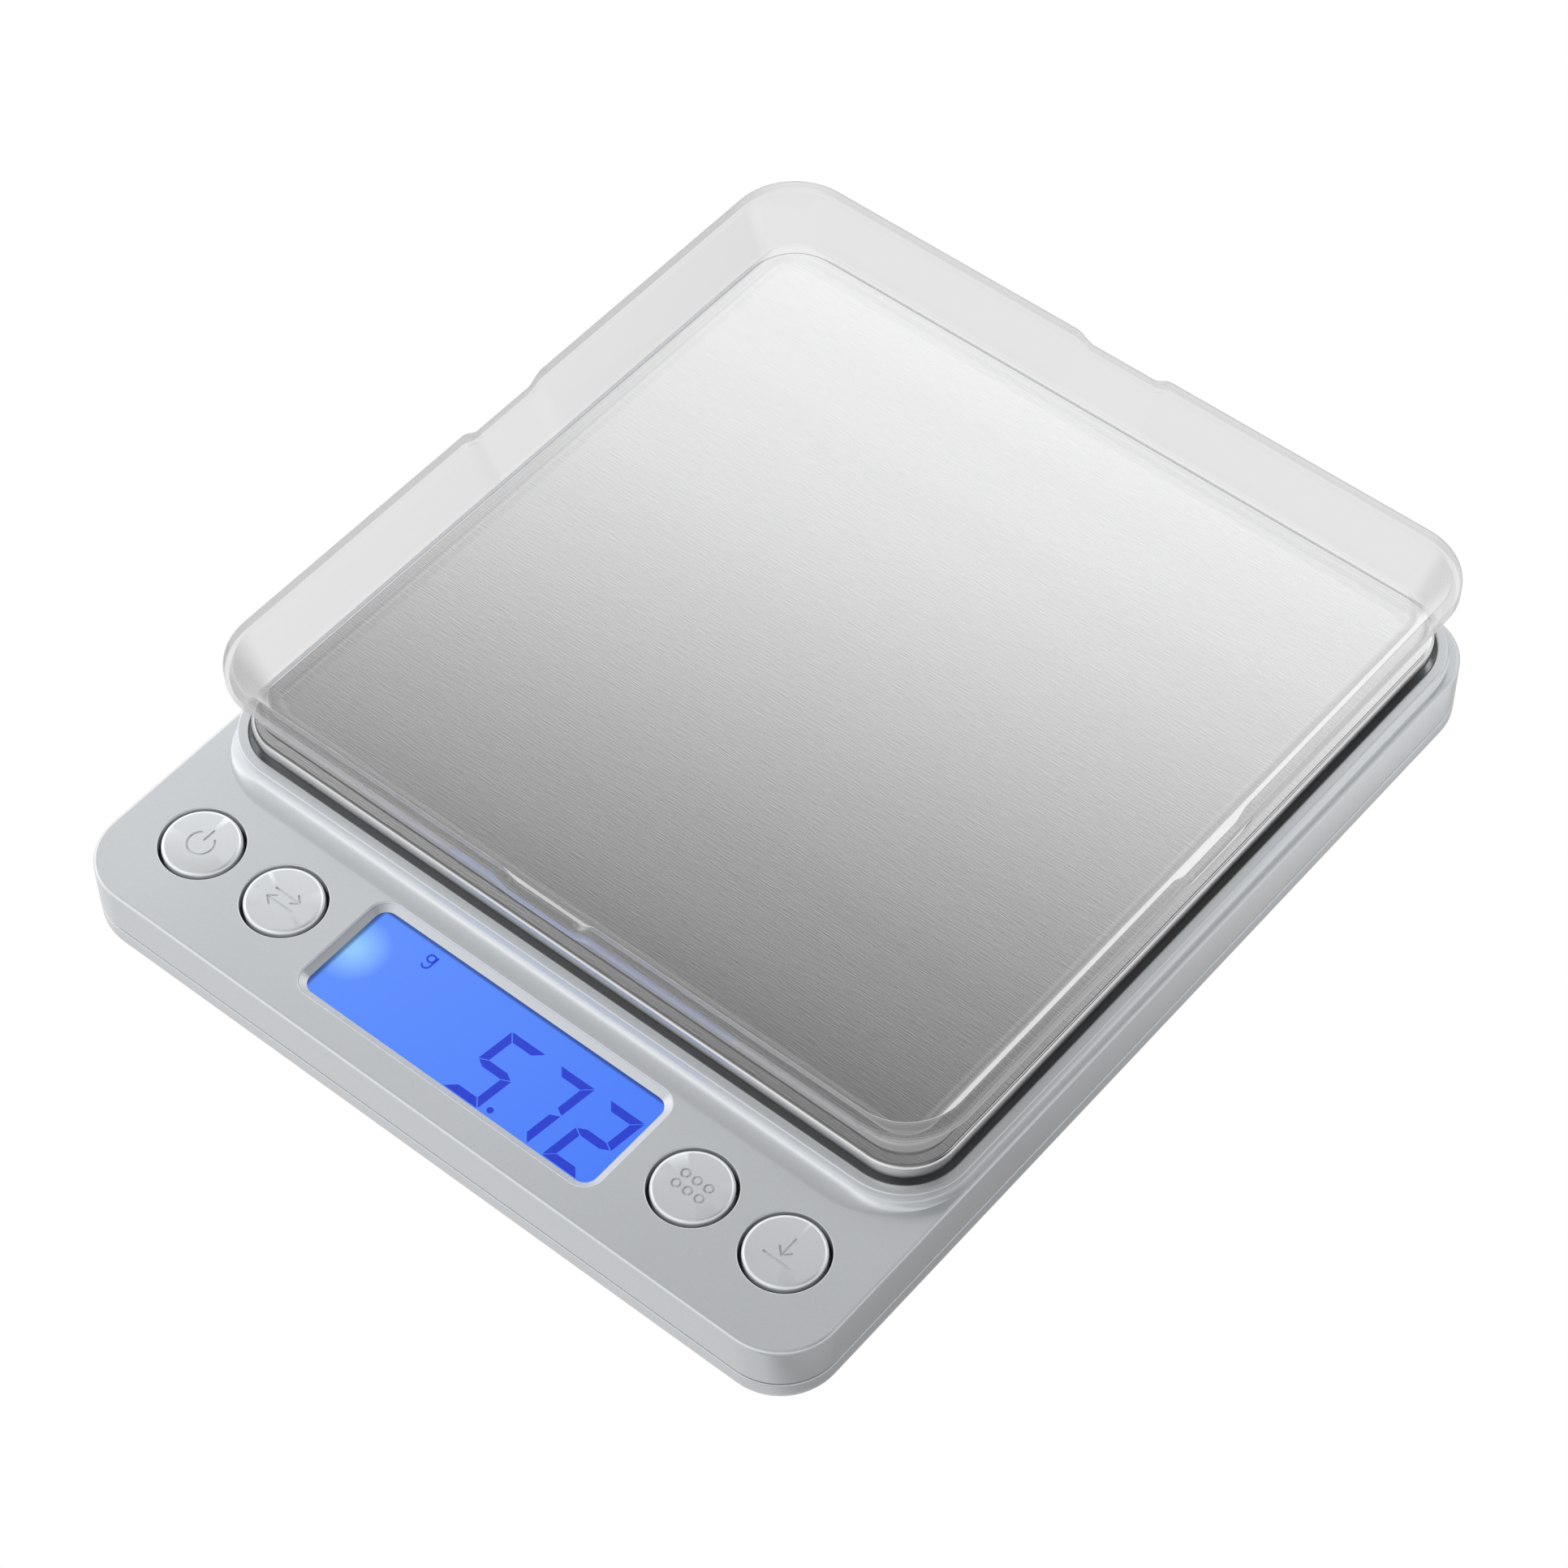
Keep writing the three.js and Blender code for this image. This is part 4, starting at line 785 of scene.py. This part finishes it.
def tray_level(z, spread):
    """The tray's outline at height z, wider than the plate by the spread on each side."""
    return platform_level(z, plate_x, plate_y, TRAY_CORNER - TRAY_OVERHANG, -spread)


def notch(distance):
    """How deep the rim dips at a distance from the middle of its side, in mm."""
    ease = min(1.0, max(0.0, (NOTCH_HALF - abs(distance)) / NOTCH_EASE))
    return NOTCH_DEPTH * ease * ease * (3 - 2 * ease)


def build_tray():
    """The clear tray: leaning walls round a rounded floor, a lip, and a rim that dips."""
    low, high = tray_low.z + TRAY_LIFT, tray_high.z
    lip_z = high - LIP_DEPTH
    wall_top = lip_z - LIP_SWEEP[-1][1]
    wall_spread = TRAY_OVERHANG - LIP_REACH
    floor_z = low + TRAY_WALL
    inner = TRAY_OVERHANG - TRAY_WALL
    inner_foot = TRAY_FOOT - TRAY_WALL + TRAY_INNER_LEAN
    rim = rounding(RIM_EDGE, 5)
    levels = [
        *[tray_level(low + drop, TRAY_FOOT - inset)
          for inset, drop in rounding(TRAY_FOOT_EDGE, 6)],
        tray_level(wall_top, wall_spread),
        *[tray_level(wall_top + rise, wall_spread + out) for out, rise in LIP_SWEEP],
        *[tray_level(high - drop, TRAY_OVERHANG - inset) for inset, drop in reversed(rim)],
        *[tray_level(high - drop, inner + inset) for inset, drop in rim],
        tray_level(floor_z + TRAY_INNER_EDGE, inner_foot),
        *[tray_level(floor_z + rise, inner_foot - inset)
          for inset, rise in reversed(rounding(TRAY_INNER_EDGE, 10)[:-1])],
    ]
    stations = [s * STATION_STEP for s in range(-STATIONS, STATIONS + 1)]
    tray = loft("clear_tray", levels, steps=16, stations=stations)
    notch_foot = lip_z - NOTCH_FADE
    for v in tray.data.vertices:
        x, y, z = v.co.x / MM, v.co.y / MM - mid_y, v.co.z / MM
        if z > notch_foot:
            side = y if abs(x) > abs(y) else x
            share = min(1.0, (z - notch_foot) / (high - notch_foot))
            v.co.z -= notch(side) * share * MM
    dress(tray, clear, "tray", ["tray"], angle=50)
    tray.visible_glossy = tray.visible_diffuse = tray.visible_shadow = False


build_tray()

# ------------------------------------------------------------------- keys and display


def stroke(name, path, width, z0, z1, closed=False):
    """A flat band of a width along a path of (x, y) points, from z0 to z1, in mm."""
    count = len(path)
    sides = [[], []]
    for i, (x, y) in enumerate(path):
        before = path[i - 1] if i > 0 or closed else path[i]
        after = path[(i + 1) % count] if i + 1 < count or closed else path[i]
        along = Vector((after[0] - before[0], after[1] - before[1])).normalized()
        sides[0].append((x - along.y * width / 2, y + along.x * width / 2))
        sides[1].append((x + along.y * width / 2, y - along.x * width / 2))
    made = bmesh.new()
    rows = [[made.verts.new((x * MM, y * MM, z * MM)) for x, y in side]
            for z in (z0, z1) for side in sides]
    a, b, c, d = rows
    for i in range(count if closed else count - 1):
        j = (i + 1) % count
        made.faces.new((a[i], a[j], b[j], b[i]))
        made.faces.new((c[i], d[i], d[j], c[j]))
        made.faces.new((a[i], c[i], c[j], a[j]))
        made.faces.new((b[i], b[j], d[j], d[i]))
    if not closed:
        for i in (0, count - 1):
            made.faces.new((a[i], b[i], d[i], c[i]))
    return finished(name, made)


def arc(x, y, radius, start, end, steps=24):
    """Points along a circle's arc, from one angle to another in degrees."""
    return [(x + radius * math.cos(math.radians(start + (end - start) * i / steps)),
             y + radius * math.sin(math.radians(start + (end - start) * i / steps)))
            for i in range(steps + 1)]


def icon_paths(name):
    """The engraved lines of a key's mark about its middle, as (path, closed)."""
    if name == "power":
        return [(arc(0, -0.15, 1.6, 125, 415), False), ([(0, 0.3), (0, 2.1)], False)]
    if name == "mode":
        return [([(-1.9 * s, 0.7 * s), (1.8 * s, 0.7 * s)], False) for s in (1, -1)] + [
            ([(0.9 * s, 1.5 * s), (1.9 * s, 0.7 * s), (0.9 * s, 0.0)], False) for s in (1, -1)]
    if name == "count":
        return [(arc(x, y, 0.5, 0, 345, 15), True) for x in (-1.6, 0, 1.6) for y in (-0.8, 0.8)]
    return [([(-1.9, -1.4), (1.9, -1.4)], False), ([(0, 1.9), (0, -0.7)], False),
            ([(-0.9, 0.2), (0, -0.7), (0.9, 0.2)], False)]


MARK_WIDTH = 0.26
MARK_DEPTH = 0.22
FLANGE_HEIGHT = 0.7
FLANGE_REACH = 0.8
CAP_EDGE = 0.5


def build_key(name):
    """A key: a flange under a silver cap with its mark engraved; the flange is coloured black as
    painted shade for the deep gap round the cap.
    """
    x = key_x[name]
    low, high = mm_box(f"button_{name}")
    shoulder = low.z + FLANGE_HEIGHT
    flange_radius = KEY_RADIUS + FLANGE_REACH
    # The flange's black is painted shade: it darkens the gap round the cap, where there is only
    # shadow.
    shade_flange = turned(f"key_shade_flange_{name}", [
        (0, low.z), (flange_radius, low.z), (flange_radius, shoulder), (0, shoulder),
    ], x, control_y)
    dress(shade_flange, black, f"{name}_key")
    cap = turned(f"key_{name}", [
        (0, shoulder), (KEY_RADIUS, shoulder),
        *[(KEY_RADIUS - inset, high.z - drop)
          for inset, drop in reversed(rounding(CAP_EDGE, 6))],
        (0, high.z),
    ], x, control_y)
    marks = [stroke("mark", [(x + px, control_y + py) for px, py in path],
                    MARK_WIDTH, high.z - MARK_DEPTH, high.z + CUT_PAST, closed)
             for path, closed in icon_paths(name)]
    boolean(cap, marks)
    dress(cap, key_silver, f"{name}_key", [f"button_{name}"])


for key in KEYS:
    build_key(key)

SEGMENTS = {"2": "abged", "5": "afgcd", "7": "abc"}
MITRE_GAP = 0.09


def segment_outline(segment, w, h, t):
    """One mitred bar of a seven-bar digit of width w, height h and bar t, about its middle."""
    g = t * MITRE_GAP
    hx, hy = w / 2, h / 2
    if segment == "g":
        return [(2 * g - hx, 0), (t + g - hx, t / 2), (hx - t - g, t / 2), (hx - 2 * g, 0),
                (hx - t - g, -t / 2), (t + g - hx, -t / 2)]
    if segment in "ad":
        side = 1 if segment == "a" else -1
        return [(g - hx, side * hy), (hx - g, side * hy), (hx - t - g, side * (hy - t)),
                (t + g - hx, side * (hy - t))]
    across = 1 if segment in "bc" else -1
    side = 1 if segment in "bf" else -1
    return [(across * hx, side * (hy - g)), (across * hx, side * g),
            (across * (hx - t), side * (t / 2 + g)), (across * (hx - t), side * (hy - t - g))]


def plates(name, outlines, z0, z1):
    """Flat plates with the given (x, y) outlines, from z0 to z1, as one mesh."""
    made = bmesh.new()
    for points in outlines:
        low = [made.verts.new((x * MM, y * MM, z0 * MM)) for x, y in points]
        high = [made.verts.new((x * MM, y * MM, z1 * MM)) for x, y in points]
        made.faces.new(list(reversed(low)))
        made.faces.new(high)
        for i in range(len(points)):
            j = (i + 1) % len(points)
            made.faces.new((low[i], low[j], high[j], high[i]))
    return finished(name, made)


READING = "572"
DIGIT_WIDTH, DIGIT_HEIGHT, DIGIT_BAR = 4.9, 9.9, 1.03
DIGIT_LEAN, DIGIT_PITCH = 0.115, 7.13
FIRST_DIGIT_X, DIGITS_DROP = 3.1, 1.65
DOT_INSET, DOT_RADIUS = 0.7, 0.4
UNIT_X, UNIT_RISE, UNIT_BAR = -12.3, 5.0, 0.22
FILM_DEPTH, FILM_THICKNESS, FILM_MARGIN = 0.25, 0.05, 3.0
FIGURES_FROM, FIGURES_TO = 0.02, 0.06


def digit_outlines(digit, x, y):
    """The bars of one leaning digit about (x, y)."""
    return [[(x + px + DIGIT_LEAN * py, y + py) for px, py in
             segment_outline(segment, DIGIT_WIDTH, DIGIT_HEIGHT, DIGIT_BAR)]
            for segment in SEGMENTS[digit]]


def build_display():
    """A lit film under the window's top, with a weight to two places and its unit on it."""
    film_z = lens_high.z - FILM_DEPTH
    film = loft("display_film", [
        display_level(z, FILM_MARGIN, VIEW_CORNER) for z in (film_z - FILM_THICKNESS, film_z)])
    dress(film, lit_blue, "body")
    base_y = control_y - DIGITS_DROP
    outlines = []
    for place, digit in enumerate(READING):
        outlines += digit_outlines(digit, FIRST_DIGIT_X + DIGIT_PITCH * place, base_y)
    dot_x = FIRST_DIGIT_X + DIGIT_WIDTH / 2 + DOT_INSET
    dot_y = base_y - DIGIT_HEIGHT / 2 + DOT_INSET
    outlines.append(arc(dot_x, dot_y, DOT_RADIUS, 0, 337.5, 15))
    z0, z1 = film_z + FIGURES_FROM, film_z + FIGURES_TO
    unit_y = control_y + UNIT_RISE
    bowl = arc(UNIT_X, unit_y, 0.5, 0, 345, 15)
    hook = [(UNIT_X + 0.6, unit_y + 0.55), (UNIT_X + 0.55, unit_y - 0.9),
            *arc(UNIT_X + 0.02, unit_y - 0.9, 0.52, -10, -160, 10)]
    for figure in (
        plates("display_digits", outlines, z0, z1),
        stroke("unit_bowl", bowl, UNIT_BAR, z0, z1, closed=True),
        stroke("unit_hook", hook, UNIT_BAR, z0, z1),
    ):
        dress(figure, ink_blue, "body")


build_display()

# ---------------------------------------------------- materials of carried-over nodes

FINISHES = {
    "battery_front": wrap, "battery_back": wrap, "battery_cover": silver,
    "battery_lead_minus": dark_wire, "battery_lead_plus": red, "buffer_capacitor": ceramic,
    "clock_crystal": nickel, "controller_dome": epoxy, "converter_chip": epoxy,
    "display_window": window, "lcd_backlight": ceramic, "lcd_glass": lit_blue,
    "lcd_holder": dull_grey, "lcd_zebra_strip": zebra, "load_cell": aluminium,
    "load_cell_lead": pale_wire, "main_board": board, "platform_carrier": black,
}
FAMILIES = {
    "foot_": rubber, "case_screw_": zinc, "cell_screw_": zinc, "board_screw_": zinc,
    "gauge_": gauge, "switch_plunger_": black, "switch_body_": zinc, "contact_": nickel,
}
for name, node in nodes.items():
    finish = FINISHES.get(name)
    for start, family_finish in FAMILIES.items():
        if name.startswith(start):
            finish = family_finish
    if finish is not None:
        node.data.materials.clear()
        node.data.materials.append(finish)
